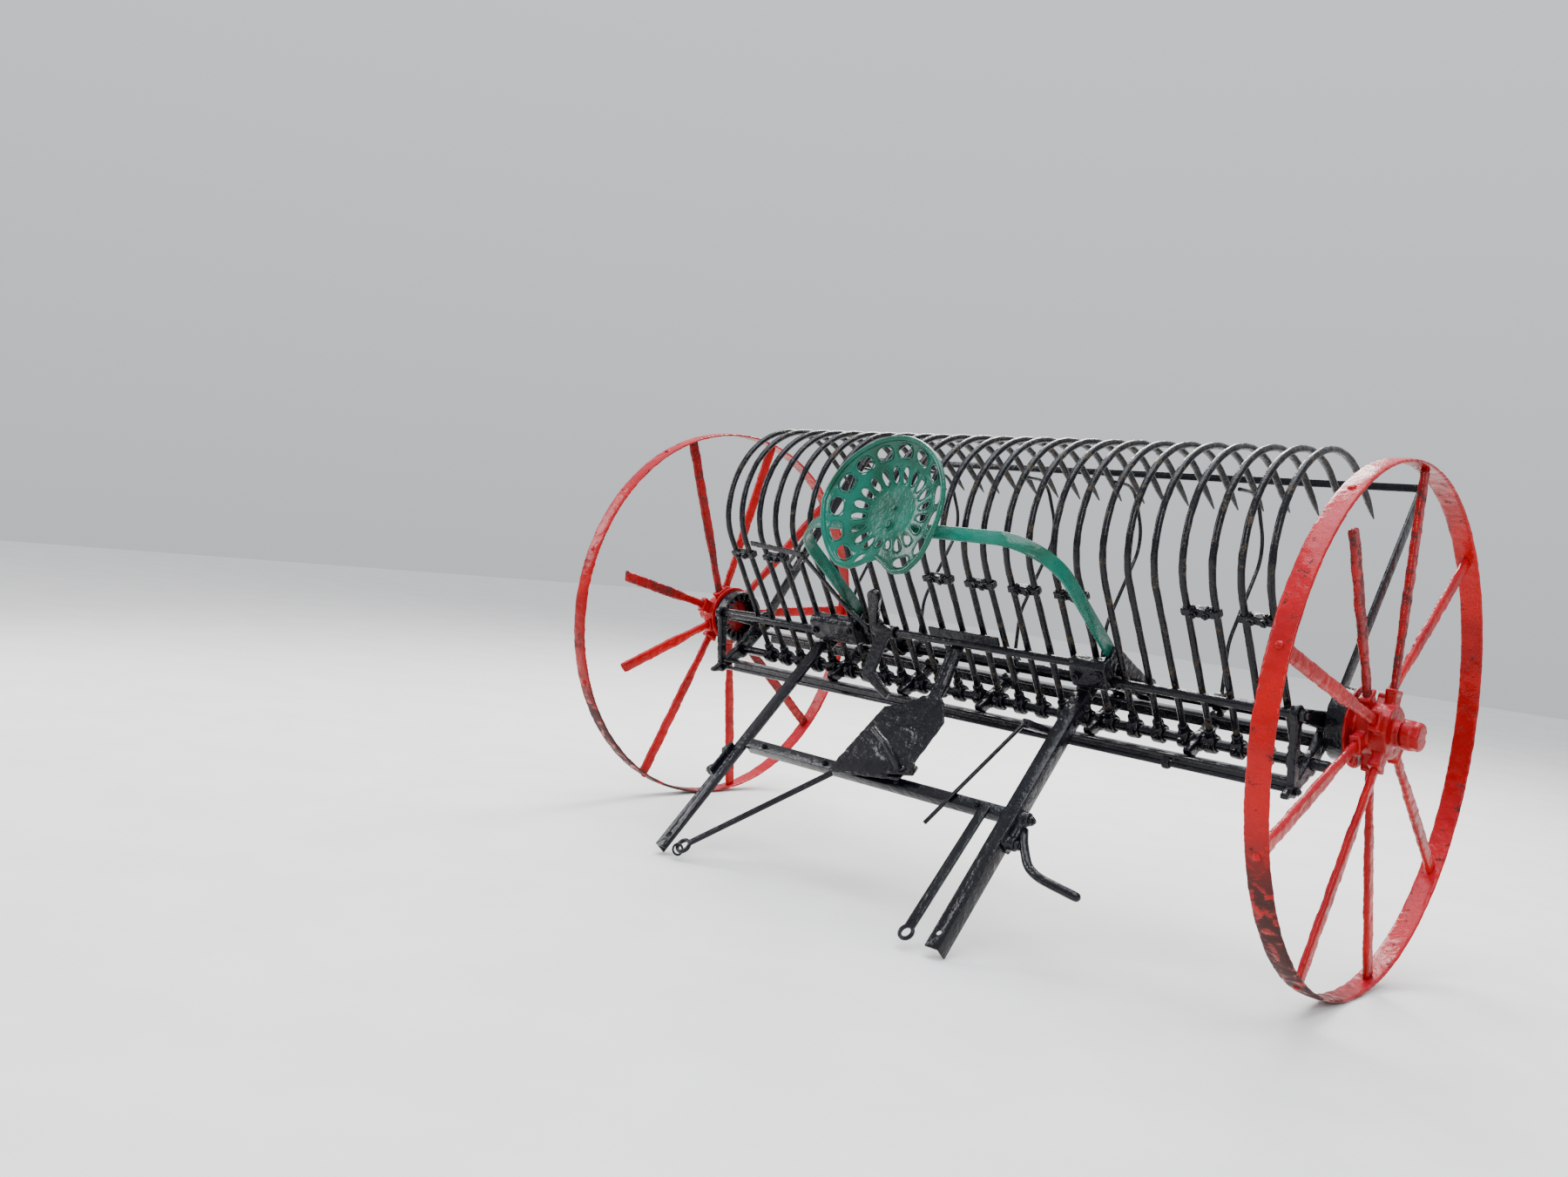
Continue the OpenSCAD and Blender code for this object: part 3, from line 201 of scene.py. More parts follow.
LEG_FRONT = Vector((0.0, -math.cos(TOOTH_LEAN), -math.sin(TOOTH_LEAN)))
SHAFT_UP = Vector((0.0, -math.sin(SHAFT_SLOPE), math.cos(SHAFT_SLOPE)))
UP = Vector((0.0, 0.0, 1.0))


# Finishes
class Tree:
    """Adds nodes to a node tree"""

    def __init__(self, tree):
        self.tree = tree

    def node(self, kind, inputs=None, **settings):
        """A new node with its settings, and with a link or a value for each input given"""
        made = self.tree.nodes.new(kind)
        for key, value in settings.items():
            setattr(made, key, value)
        for key, value in (inputs or {}).items():
            self.fill(made.inputs[key], value)
        return made

    def fill(self, socket, value):
        """Links an output to a socket, or else gives the socket a value of its own"""
        if isinstance(value, bpy.types.NodeSocket):
            self.tree.links.new(value, socket)
        else:
            socket.default_value = value


class Finish(Tree):
    """Builds the nodes of one procedural material"""

    def __init__(self, name):
        self.material = bpy.data.materials.new(name)
        self.material.use_nodes = True
        super().__init__(self.material.node_tree)
        self.tree.nodes.clear()
        self.shader = self.node("ShaderNodeBsdfPrincipled")
        self.node("ShaderNodeOutputMaterial", {"Surface": self.shader.outputs[0]})
        self.coord = self.node("ShaderNodeTexCoord").outputs["Object"]

    def noise(self, scale, detail, rough=0.55, distortion=0.0):
        return self.node("ShaderNodeTexNoise", {
            "Vector": self.coord, "Scale": scale, "Detail": detail, "Roughness": rough,
            "Distortion": distortion,
        }).outputs["Fac"]

    def band(self, value, low, high, out_low=0.0, out_high=1.0):
        """value, mapped smoothly from low..high to out_low..out_high"""
        return self.node("ShaderNodeMapRange", {
            "Value": value, "From Min": low, "From Max": high, "To Min": out_low,
            "To Max": out_high,
        }, interpolation_type="SMOOTHSTEP").outputs["Result"]

    def maths(self, operation, a, b):
        return self.node("ShaderNodeMath", {0: a, 1: b}, operation=operation).outputs[0]

    def mix(self, factor, a, b):
        """Two colours, each a socket or three numbers, mixed by a socket"""
        a, b = (c if isinstance(c, bpy.types.NodeSocket) else (*c, 1.0) for c in (a, b))
        return self.node("ShaderNodeMix", {0: factor, 6: a, 7: b}, data_type="RGBA").outputs[2]

    def axis(self, name):
        """One coordinate of the place on the object"""
        return self.node("ShaderNodeSeparateXYZ", {0: self.coord}).outputs[name]

    def facing(self, name):
        """One part of the surface's own direction"""
        normal = self.node("ShaderNodeNewGeometry").outputs["Normal"]
        return self.node("ShaderNodeSeparateXYZ", {0: normal}).outputs[name]

    def bump(self, height, distance, strength=1.0):
        return self.node("ShaderNodeBump", {
            "Height": height, "Distance": distance, "Strength": strength}).outputs[0]

    def done(self, colour, roughness, normal, shine=0.5, coat=0.0, coat_roughness=0.1):
        for name, value in {
            "Base Color": colour, "Roughness": roughness, "Normal": normal,
            "Specular IOR Level": shine, "Coat Weight": coat, "Coat Roughness": coat_roughness,
        }.items():
            self.fill(self.shader.inputs[name], value)
        return self.material


def thick_paint(name, colour, deep, chip, chips, lump, shine, gloss=0.24, sky_sheen=None, worn=None):
    """Brushed gloss over old rust: brush lumps, pits, dark flecks and a few bare chips"""
    f = Finish(name)
    broad = f.noise(BROAD, 3.0)
    patch = f.noise(PATCH, 5.0, 0.6, 0.4)
    fleck = f.noise(FLECK, 3.0, 0.65)
    # The deep colour comes in broad noise patches: painted shade for the green, a darker tone of
    # the paint for the others
    base = f.mix(f.band(broad, *COLOUR_IN), deep, colour)
    # Painted sky reflection: faces that look up are mixed towards a lighter, pinker red
    if sky_sheen is not None:
        sky_sheen_mask = f.maths("MULTIPLY", f.band(f.facing("Z"), *SKY_SHEEN_IN), SKY_SHEEN_SHARE)
        base = f.mix(sky_sheen_mask, base, sky_sheen)
    bare = f.band(patch, chips, chips + CHIP_EDGE)
    bare = f.maths("MULTIPLY", bare, f.band(fleck, *CHIPS_IN))
    dirt = f.maths("MULTIPLY", f.band(fleck, *DIRT_IN), f.band(patch, *DIRT_PATCHES))
    if worn is not None:
        low = f.band(f.axis("Z"), worn, worn - WORN_FADE)
        low = f.maths("MULTIPLY", low, f.band(f.axis("Y"), WORN_REAR, WORN_FRONT))
        bare = f.maths("MAXIMUM", bare, f.maths("MULTIPLY", low, f.band(patch, *WORN_PATCHES)))
    base = f.mix(f.maths("MULTIPLY", dirt, DIRT_SHARE), base, chip)
    base = f.mix(bare, base, chip)
    rough = f.band(patch, *GLOSS_PATCHES, gloss - SMOOTHER, gloss + ROUGHER)
    rough = f.maths("ADD", rough, f.maths("MULTIPLY", bare, CHIP_ROUGH))
    grain = f.maths("MULTIPLY", f.noise(GRAIN, 2.0), GRAIN_SHARE)
    height = f.maths("ADD", f.noise(BRUSH, 3.0, 0.5), grain)
    height = f.maths("SUBTRACT", height, f.maths("MULTIPLY", bare, CHIP_DEEP))
    return f.done(base, rough, f.bump(height, lump), shine, COAT, COAT_ROUGHNESS)


def dimmed(colour, share):
    return [c * share for c in colour]


def finishes(look):
    """Every material, by the name that the operators use"""
    red = look.wheel_red
    reds = {"chip": RUST, "sky_sheen": look.wheel_red_sky_sheen}
    # The black's blue tint is a painted sky reflection
    blacks = {"colour": look.frame_black, "deep": dimmed(look.frame_black, 0.5)}
    return {
        "red": thick_paint(
            "wheel_red_gloss", red, dimmed(red, 0.62), chips=0.66, lump=0.0022, shine=0.15, **reds),
        "rim red": thick_paint(
            "wheel_rim_red", red, dimmed(red, 0.6), chips=0.6, lump=0.0024, shine=0.15,
            worn=0.55, **reds),
        "scaled red": thick_paint(
            "wheel_red_over_scale", dimmed(red, 0.8), dimmed(red, 0.4), chips=0.52, lump=0.0048,
            shine=0.2, gloss=0.2, **reds),
        "black": thick_paint(
            "frame_black_gloss", chip=BLACK_CHIP, chips=0.72, lump=0.0036, shine=0.22,
            gloss=0.17, **blacks),
        "cast black": thick_paint(
            "cast_black_gloss", chip=BLACK_CHIP, chips=0.7, lump=0.0040, shine=0.24,
            gloss=0.16, **blacks),
        "tooth black": thick_paint(
            "tooth_black_gloss", chip=TOOTH_CHIP, chips=0.56, lump=0.0024, shine=0.22,
            gloss=0.2, **blacks),
        "green": thick_paint(
            "seat_green_gloss", look.seat_green, look.seat_green_painted_shade, GREEN_CHIP, chips=0.72,
            lump=0.0020, shine=0.26, gloss=0.2),
    }


# The materials, once the first step has made them
FINISH = {}


# Small helpers for meshes
def toward(angle):
    return Vector((math.cos(angle), math.sin(angle)))


def rod_line(start, heading, runs):
    """Points along straight runs and bends in one plane: each run is length, turn, radius"""
    points = [Vector(start)]
    direction = heading
    for length, turn, radius in runs:
        count = max(1, round(length / (LINE_STEP * 3)))
        for i in range(1, count + 1):
            points.append(points[-1] + toward(direction) * (length / count))
        if turn:
            count = max(2, round(abs(turn) * radius / LINE_STEP))
            for i in range(count):
                chord = 2 * radius * math.sin(abs(turn) / count / 2)
                points.append(points[-1] + toward(direction + turn * (i + 0.5) / count) * chord)
            direction += turn
    return points


def tooth_line():
    """A tooth's middle line, first axis to the rear and second axis up, from its shaft"""
    c, s = math.cos(TOOTH_LEAN), math.sin(TOOTH_LEAN)
    bend = (HOOP_RISE * s - HOOP_R * c) / (1 - c)
    leg = (HOOP_R - bend * (1 - c)) / s
    heading = math.pi / 2 + TOOTH_LEAN
    return rod_line(toward(heading) * TOOTH_START, heading, (
        (leg - TOOTH_START, -TOOTH_LEAN, bend), (NO_RUN, TIP_FROM - math.pi, HOOP_R), (TIP_L, 0, 0),
    ))


def settle(obj, body, finish):
    """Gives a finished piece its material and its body"""
    obj.data.materials.clear()
    obj.data.materials.append(FINISH[finish])
    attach(obj, body)


def new_object(name, data):
    obj = bpy.data.objects.new(name, data)
    bpy.context.scene.collection.objects.link(obj)
    return obj


def mesh_object(name, bm, smooth=True):
    mesh = bpy.data.meshes.new(name)
    bm.to_mesh(mesh)
    bm.free()
    for face in mesh.polygons:
        face.use_smooth = smooth
    return new_object(name, mesh)


def around(count):
    return [math.tau * k / count for k in range(count)]


def sweep(bm, points, radius, sides, closed=False):
    """A round bar along points; radius is one size, or one for each point"""
    count = len(points)
    radii = [radius] * count if isinstance(radius, float) else radius
    side = None
    rings = []
    for i, point in enumerate(points):
        before = points[i - 1] if closed or i > 0 else point
        after = points[(i + 1) % count] if closed or i < count - 1 else point
        ahead = (after - before).normalized()
        side = ahead.orthogonal() if side is None else side - ahead * side.dot(ahead)
        side.normalize()
        up = ahead.cross(side)
        rings.append([
            bm.verts.new(point + (side * math.cos(a) + up * math.sin(a)) * radii[i])
            for a in around(sides)
        ])
    following = rings[1:] + rings[:1] if closed else rings[1:]
    for a, b in zip(rings, following):
        for k in range(sides):
            bm.faces.new((a[k], a[(k + 1) % sides], b[(k + 1) % sides], b[k]))
    if not closed:
        bm.faces.new(rings[0][::-1])
        bm.faces.new(rings[-1])


def rounded(corners, share, steps):
    """A line through corners, with each corner rounded off over a share of its legs"""
    line = [corners[0]]
    for a, b, c in zip(corners, corners[1:], corners[2:]):
        start, end = b.lerp(a, share), b.lerp(c, share)
        for i in range(steps + 1):
            t = i / steps
            line.append(start.lerp(b, t).lerp(b.lerp(end, t), t))
    return line + [corners[-1]]


def merged_copy(node):
    """A copy of a CAD node's mesh with its doubles merged"""
    bm = bmesh.new()
    bm.from_mesh(NODES[node].data)
    bmesh.ops.remove_doubles(bm, verts=bm.verts, dist=DOUBLES)
    return bm


def baked(obj):
    """Keeps the result of the object's modifiers as its plain mesh"""
    graph = bpy.context.evaluated_depsgraph_get()
    mesh = bpy.data.meshes.new_from_object(obj.evaluated_get(graph))
    obj.modifiers.clear()
    obj.data = mesh
    return obj


def modify(obj, name, kind, **settings):
    """Adds a modifier and sets it up"""
    made = obj.modifiers.new(name, kind)
    for key, value in settings.items():
        setattr(made, key, value)


def cast_copy(node, grid, lump):
    """A node with the soft edges and the lumps of a painted casting"""
    obj = mesh_object(node + "_cast", merged_copy(node))
    modify(obj, "grid", "REMESH", mode="VOXEL", voxel_size=grid, use_smooth_shade=True)
    modify(obj, "soften", "SMOOTH", factor=0.5, iterations=SOFTEN_TIMES)
    clouds = bpy.data.textures.new(node + "_lumps", "CLOUDS")
    clouds.noise_scale = grid * LUMP_CELLS
    clouds.noise_depth = 1
    modify(obj, "lumps", "DISPLACE", texture=clouds, strength=lump, mid_level=LUMP_LEVEL)
    if node.startswith("spokes"):
        modify(obj, "swell", "DISPLACE", strength=SPOKE_SWELL, mid_level=0.0)
    return baked(obj)


def iron_copy(node, width):
    """A node with narrow rounded edges and smooth round faces"""
    bm = merged_copy(node)
    bmesh.ops.dissolve_limit(
        bm, angle_limit=FLAT, verts=bm.verts, edges=bm.edges, delimit={"NORMAL"})
    obj = mesh_object(node + "_iron", bm)
    modify(
        obj, "edges", "BEVEL", width=width, segments=2, limit_method="ANGLE",
        angle_limit=BEVELLED, use_clamp_overlap=True)
    baked(obj)
    obj.data.set_sharp_from_angle(angle=SHARP)
    return obj


class Recipe(Tree):
    """Builds a Geometry Nodes tree with named inputs, and bakes it to a plain mesh"""

    def __init__(self, name):
        super().__init__(bpy.data.node_groups.new(name, "GeometryNodeTree"))
        for way in ("INPUT", "OUTPUT"):
            self.tree.interface.new_socket(
                "Geometry", in_out=way, socket_type="NodeSocketGeometry")
        self.sockets = {}
        self.input = self.node("NodeGroupInput")
        self.output = self.node("NodeGroupOutput")

    def size(self, name, value, kind="NodeSocketFloat"):
        """A named input of the tree"""
        socket = self.tree.interface.new_socket(name, in_out="INPUT", socket_type=kind)
        self.sockets[socket.identifier] = value
        return self.input.outputs[name]

    def attribute(self, name, kind="FLOAT"):
        """What the mesh holds by this name"""
        return self.node(
            "GeometryNodeInputNamedAttribute", {"Name": name}, data_type=kind).outputs["Attribute"]

    def lumps(self, geometry, height, scale):
        """Pushes every realized copy's surface in and out by a noise of its own place"""
        realize = self.node("GeometryNodeRealizeInstances", {0: geometry})
        noise = self.node("ShaderNodeTexNoise", {"Scale": scale})
        centred = self.node("ShaderNodeMath", {0: noise.outputs[0], 1: 0.5}, operation="SUBTRACT")
        sized = self.node(
            "ShaderNodeMath", {0: centred.outputs[0], 1: height}, operation="MULTIPLY")
        normal = self.node("GeometryNodeInputNormal").outputs[0]
        offset = self.node(
            "ShaderNodeVectorMath", {0: normal, "Scale": sized.outputs[0]}, operation="SCALE")
        return self.node("GeometryNodeSetPosition", {
            "Geometry": realize.outputs[0], "Offset": offset.outputs[0]}).outputs[0]

    def finish(self, geometry, material):
        realize = self.node("GeometryNodeRealizeInstances", {0: geometry})
        paint = self.node("GeometryNodeSetMaterial", {
            "Geometry": realize.outputs[0], "Material": material})
        self.fill(self.output.inputs[0], paint.outputs[0])

    def bake(self, name, source_mesh):
        """Runs the tree on a mesh and keeps the result as a plain mesh object"""
        carrier = new_object(name + "_source", source_mesh)
        modifier = carrier.modifiers.new("recipe", "NODES")
        modifier.node_group = self.tree
        for identifier, value in self.sockets.items():
            modifier[identifier] = value
        graph = bpy.context.evaluated_depsgraph_get()
        mesh = bpy.data.meshes.new_from_object(carrier.evaluated_get(graph))
        bpy.data.objects.remove(carrier)
        return new_object(name, mesh)


def point_cloud(places):
    """A mesh of loose points, each with a direction that a fastener's head faces and a size"""
    points, facings, sizes = zip(*places)
    mesh = bpy.data.meshes.new("places")
    mesh.from_pydata([tuple(p) for p in points], [], [])
    facing = mesh.attributes.new("facing", "FLOAT_VECTOR", "POINT")
    facing.data.foreach_set("vector", [c for f in facings for c in f.normalized()])
    size = mesh.attributes.new("size", "FLOAT", "POINT")
    size.data.foreach_set("value", sizes)
    return mesh


def scatter(name, places, profile, sides, body, finish):
    """Turned heads, from a profile of radius and height, set on places by Geometry Nodes"""
    recipe = Recipe(name + "_recipe")
    count = recipe.size("Sides", sides, "NodeSocketInt")
    spread = recipe.size("Turn", TURN_SEED, "NodeSocketInt")
    disc = {"Vertices": count, "Radius": profile[0][0]}
    shape = recipe.node("GeometryNodeMeshCircle", disc, fill_type="NGON").outputs[0]
    top = None
    for (r0, h0), (r1, h1) in zip(profile, profile[1:]):
        push = recipe.node("GeometryNodeExtrudeMesh", {
            "Mesh": shape, "Individual": False, "Offset Scale": h1 - h0}, mode="FACES")
        if top is not None:
            recipe.fill(push.inputs["Selection"], top)
        top = push.outputs["Top"]
        shape = recipe.node("GeometryNodeScaleElements", {
            "Geometry": push.outputs["Mesh"], "Selection": top, "Scale": r1 / r0}).outputs[0]
    facing = recipe.attribute("facing", "FLOAT_VECTOR")
    align = recipe.node("FunctionNodeAlignRotationToVector", {"Vector": facing}, axis="Z")
    spin = recipe.node("FunctionNodeRandomValue", {3: math.tau, "Seed": spread}, data_type="FLOAT")
    turn = recipe.node("FunctionNodeAxisAngleToRotation", {"Axis": UP, "Angle": spin.outputs[1]})
    both = recipe.node("FunctionNodeRotateRotation", {
        0: align.outputs[0], 1: turn.outputs[0]}, rotation_space="LOCAL")
    points = recipe.node("GeometryNodeMeshToPoints", {"Mesh": recipe.input.outputs["Geometry"]})
    instance = recipe.node("GeometryNodeInstanceOnPoints", {
        "Points": points.outputs[0], "Instance": shape, "Rotation": both.outputs[0],
        "Scale": recipe.attribute("size")})
    recipe.finish(instance.outputs[0], FINISH[finish])
    obj = recipe.bake(name, point_cloud(places))
    settle(obj, body, finish)
    return obj


# Settings
class RakeLook(bpy.types.PropertyGroup):
    """Colours of the paint"""
    wheel_red: bpy.props.FloatVectorProperty(
        name="Wheel red", description="Gloss paint of the wheels", subtype="COLOR", size=3,
        min=0, max=1, default=(0.37, 0.0016, 0.0028))
    # Painted sky reflection: the lighter, pinker red that faces looking up are mixed towards
    wheel_red_sky_sheen: bpy.props.FloatVectorProperty(
        name="Sunny red", description="Sheened red on faces that look up", subtype="COLOR", size=3,
        min=0, max=1, default=(0.42, 0.008, 0.024))
    # Black paint with a blue tint that is a painted sky reflection
    frame_black: bpy.props.FloatVectorProperty(
        name="Frame black", description="Gloss paint of the frame and the teeth", subtype="COLOR",
        size=3, min=0, max=1, default=(0.003, 0.0034, 0.0065))
    seat_green: bpy.props.FloatVectorProperty(
        name="Seat green", description="Gloss paint of the seat and its arch", subtype="COLOR",
        size=3, min=0, max=1, default=(0.003, 0.118, 0.082))
    # Painted shade: the seat's green in shadow, mixed into the green in broad noise patches
    seat_green_painted_shade: bpy.props.FloatVectorProperty(
        name="Deep seat green", description="Green in the seat's shadows", subtype="COLOR",
        size=3, min=0, max=1, default=(0.001, 0.052, 0.028))


class RakeSizes(bpy.types.PropertyGroup):
    """Sizes of the small parts that the model leaves out"""
    rivet_r: bpy.props.FloatProperty(
        name="Rivet radius", description="Radius of the rivet heads on the tread", unit="LENGTH",
        default=0.0105, min=0.005, max=0.02)
    bolt_r: bpy.props.FloatProperty(
        name="Bolt radius", description="Radius over the corners of a nut", unit="LENGTH",
        default=0.012, min=0.005, max=0.02)
    tooth_sides: bpy.props.IntProperty(
        name="Tooth sides", description="Sides of a tooth's round section", default=16,
        min=8, max=32)


class HAYRAKE_OT_paint(bpy.types.Operator):
    """Makes the paints that the other steps lay on"""
    bl_idname = "hayrake.paint"
    bl_label = "Paints"

    def execute(self, context):
        FINISH.update(finishes(context.scene.hayrake_look))
        return {"FINISHED"}


class HAYRAKE_OT_castings(bpy.types.Operator):
    """Gives each cast or heavily painted piece soft edges and lumps"""
    bl_idname = "hayrake.castings"
    bl_label = "Castings and wheels"

    # degrees of the spokes whose paint lies over thick scale, and half of what a spoke takes up
    SCALED = {"spokes_right": (83, 123), "spokes_left": (123, -37, 163)}
    HALF_SPOKE = 15

    def execute(self, context):
        for node, body, finish, grid, lump in CAST_PIECES:
            obj = cast_copy(node, grid, lump)
            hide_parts(node)
            settle(obj, body, finish)
            if node in self.SCALED:
                obj.data.materials.append(FINISH["scaled red"])
                self.mark_scaled(obj.data, self.SCALED[node])
        return {"FINISHED"}

    def mark_scaled(self, mesh, spokes):
        for face in mesh.polygons:
            angle = math.degrees(math.atan2(face.center.z - WHEEL_R, face.center.y - AXLE_Y))
            if any(abs((angle - a + 180) % 360 - 180) < self.HALF_SPOKE for a in spokes):
                face.material_index = 1


class HAYRAKE_OT_irons(bpy.types.Operator):
    """Rounds the edges of bars, rods and angle irons"""
    bl_idname = "hayrake.irons"
    bl_label = "Bars and rods"

    def execute(self, context):
        for node, width in IRON_PIECES.items():
            obj = iron_copy(node, width)
            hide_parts(node)
            body = "rake_head" if node == "tooth_shaft" else "frame"
            settle(obj, body, "green" if node == "seat_arch" else "black")
        return {"FINISHED"}


class HAYRAKE_OT_seat(bpy.types.Operator):
    """Smooths the pierced pan, rolls its rim, beads its holes and sets its two bolts"""
    bl_idname = "hayrake.seat"
    bl_label = "Seat"

    # most that two triangles of the pan may bend and skew to be joined
    PAIR_FLAT, PAIR_SKEW = math.radians(30), math.radians(60)
    # the pan's top over the arch, the way back to the small bolt, and the small bolt's scale
    TOP, BACK_TO_BOLT, SMALL_BOLT = 0.013, 0.052, 0.6
    BOLT = ((0.020, 0.0), (0.020, 0.002), (0.0125, 0.0021), (0.0125, 0.009), (0.011, 0.0105))
    # the rolled rim: how far over the pan's edge and within it, its radius and its sides
    RIM_OVER, RIM_WITHIN, RIM_R, RIM_SIDES = 0.0045, 0.0055, 0.0078, 12
    # the bead round a hole: its place above the pan's underside, radius, sides and steps
    BEAD_UP, BEAD_R, BEAD_SIDES, BEAD_STEPS = SEAT_T + 0.0004, 0.0024, 6, 20
    # rings of holes: columns from hole to hole and to the first one's middle, then middle and
    # half of its share of the way out, and its half width in columns
    OUTER_HOLES, INNER_HOLES = (4, 2.5, 0.73, 0.14, 1.55), (3, 2.0, 0.265, 0.175, 1.0)
    # the outer ring has no holes where the pan's edge is under this share of its radius
    CUT_AWAY = 0.9

    def execute(self, context):
        self.up = Vector((0.0, -math.sin(SEAT_TILT), math.cos(SEAT_TILT)))
        self.back = Vector((0.0, math.cos(SEAT_TILT), math.sin(SEAT_TILT)))
        c, s, high = math.cos(ARCH_LEAN), math.sin(ARCH_LEAN), ARCH_H + ARCH_T / 2
        bolt = ARCH_FOOT + Vector((-SEAT_ASIDE, -high * s, high * c))
        self.origin = bolt + self.back * SEAT_PLACE.y + self.up * SEAT_PLACE.z
        self.pan()
        top = bolt + self.up * self.TOP
        small = top + self.back * self.BACK_TO_BOLT
        places = [(top, self.up, 1.0), (small, self.up, self.SMALL_BOLT)]
        scatter("seat_bolts", places, self.BOLT, 6, "frame", "green")
        rim = bmesh.new()
        edge = [self.at(1.0, j / 2, self.RIM_OVER, self.RIM_WITHIN) for j in range(2 * SEAT_COLS)]
        sweep(rim, edge, self.RIM_R, self.RIM_SIDES, closed=True)
        settle(mesh_object("seat_rim", rim), "frame", "green")
        beads = bmesh.new()
        for hole in self.holes():
            sweep(beads, self.around_hole(*hole), self.BEAD_R, self.BEAD_SIDES, closed=True)
        settle(mesh_object("seat_beads", beads), "frame", "green")
        return {"FINISHED"}

    def pan(self):
        bm = merged_copy("seat_pan")
        bmesh.ops.join_triangles(
            bm, faces=bm.faces, angle_face_threshold=self.PAIR_FLAT,
            angle_shape_threshold=self.PAIR_SKEW)
        obj = mesh_object("seat_pan_smooth", bm)
        modify(obj, "rounding", "SUBSURF", levels=2, render_levels=2)
        baked(obj)
        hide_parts("seat_pan")
        settle(obj, "frame", "green")

    def holes(self):
        """Middle column, middle and half of the share of the way out, and half width in columns"""
        every, first, *size = self.OUTER_HOLES
        for j in range(0, SEAT_COLS, every):
            if all(self.edge(j + i, 1) > self.CUT_AWAY for i in range(1, every)):
                yield j + first, *size
        every, first, *size = self.INNER_HOLES
        for j in range(0, SEAT_COLS, every):
            yield j + first, *size

    def around_hole(self, column, middle, half, half_width):
        loop = []
        for a in around(self.BEAD_STEPS):
            share = middle + half * math.cos(a)
            loop.append(self.at(share, column + half_width * math.sin(a), self.BEAD_UP))
        return loop

    def edge(self, column, which):
        """The pan's edge at a column: 1 gives the share of its radius, 2 of its rise"""
        degrees = 180 - abs((column * 360 / SEAT_COLS + 90) % 360 - 180)
        for low, high in zip(SEAT_EDGE, SEAT_EDGE[1:]):
            if degrees <= high[0]:
                share = (degrees - low[0]) / (high[0] - low[0])
                return low[which] + (high[which] - low[which]) * share
        return SEAT_EDGE[-1][which]

    def at(self, share, column, over, within=0.0):
        """A place on the pan, a share of the way from the flat middle's edge to the rim"""
        angle = math.tau * column / SEAT_COLS
        reach = SEAT_R * self.edge(column, 1)
        r = SEAT_DISC_R + share * (reach - SEAT_DISC_R) - within
        height = SEAT_RISE * self.edge(column, 2) * max(share, 0.0) ** 1.5 + over
        across = Vector((1.0, 0.0, 0.0))
        flat = across * r * math.cos(angle) + self.back * r * math.sin(angle)
        return self.origin + flat + self.up * height


class HAYRAKE_OT_teeth(bpy.types.Operator):
    """Bends the round teeth of the rake head, each a little unlike the next"""
    bl_idname = "hayrake.teeth"
    bl_label = "Teeth"

    # the point's width at its very end, and the power by which it widens
    TIP_WIDTH, TIP_TAPER = 0.24, 0.7
    # degrees by which a tooth turns at most, and the seed of the turns
    TURNS, SEED = (0.35, 0.5, 0.5), 11
    # height and scale of the lumps in a tooth's paint
    LUMP_H, LUMP_SCALE = 0.004, 38.0

    def execute(self, context):
        line = tooth_line()
        total = sum((b - a).length for a, b in zip(line, line[1:]))
        mesh = bpy.data.meshes.new("tooth_line")
        edges = [(i, i + 1) for i in range(len(line) - 1)]
        mesh.from_pydata([(0, p.x, p.y) for p in line], edges, [])
        width = mesh.attributes.new("width", "FLOAT", "POINT")
        run, widths = 0.0, []
        for a, b in zip([line[0], *line], line):
            run += (b - a).length
            share = min(1.0, (total - run) / POINT_L)
            gain = (1 - self.TIP_WIDTH) * max(share, 0.0) ** self.TIP_TAPER
            widths.append(self.TIP_WIDTH + gain)
        width.data.foreach_set("value", widths)
        half = TOOTH_COUNT // 2
        for side, first in (("right", 0), ("left", half)):
            obj = self.side(mesh, side, first, half, context.scene.hayrake_sizes.tooth_sides)
            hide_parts("teeth_" + side)
            settle(obj, "rake_head", "tooth black")
        return {"FINISHED"}

    def side(self, mesh, side, first, teeth, sides):
        recipe = Recipe("teeth_" + side + "_recipe")
        radius = recipe.size("Tooth Radius", TOOTH_R)
        pitch = recipe.size("Tooth Pitch", -TOOTH_PITCH)
        count = recipe.size("Tooth Count", teeth, "NodeSocketInt")
        ring_sides = recipe.size("Sides", sides, "NodeSocketInt")
        seed = recipe.size("Seed", self.SEED + first, "NodeSocketInt")
        offset = recipe.node("ShaderNodeCombineXYZ", {"X": pitch})
        row = recipe.node("GeometryNodeMeshLine", {
            "Count": count, "Start Location": (place_x(first), TOOTH_PLACE.y, TOOTH_PLACE.z),
            "Offset": offset.outputs[0]}, mode="OFFSET")
        curve = recipe.node("GeometryNodeMeshToCurve", {"Mesh": recipe.input.outputs["Geometry"]})
        ring = recipe.node("GeometryNodeCurvePrimitiveCircle", {
            "Resolution": ring_sides, "Radius": radius})
        tube = recipe.node("GeometryNodeCurveToMesh", {
            "Curve": curve.outputs[0], "Profile Curve": ring.outputs[0],
            "Scale": recipe.attribute("width"), "Fill Caps": True})
        low, high = ([math.radians(sign * a) for a in self.TURNS] for sign in (-1, 1))
        turns = recipe.node("FunctionNodeRandomValue", {
            0: low, 1: high, "Seed": seed}, data_type="FLOAT_VECTOR")
        instance = recipe.node("GeometryNodeInstanceOnPoints", {
            "Points": row.outputs[0], "Instance": tube.outputs[0], "Rotation": turns.outputs[0]})
        lump = recipe.size("Lump Height", self.LUMP_H)
        lumped = recipe.lumps(instance.outputs[0], lump, self.LUMP_SCALE)
        recipe.finish(lumped, FINISH["tooth black"])
        return recipe.bake("teeth_" + side + "_bent", mesh)


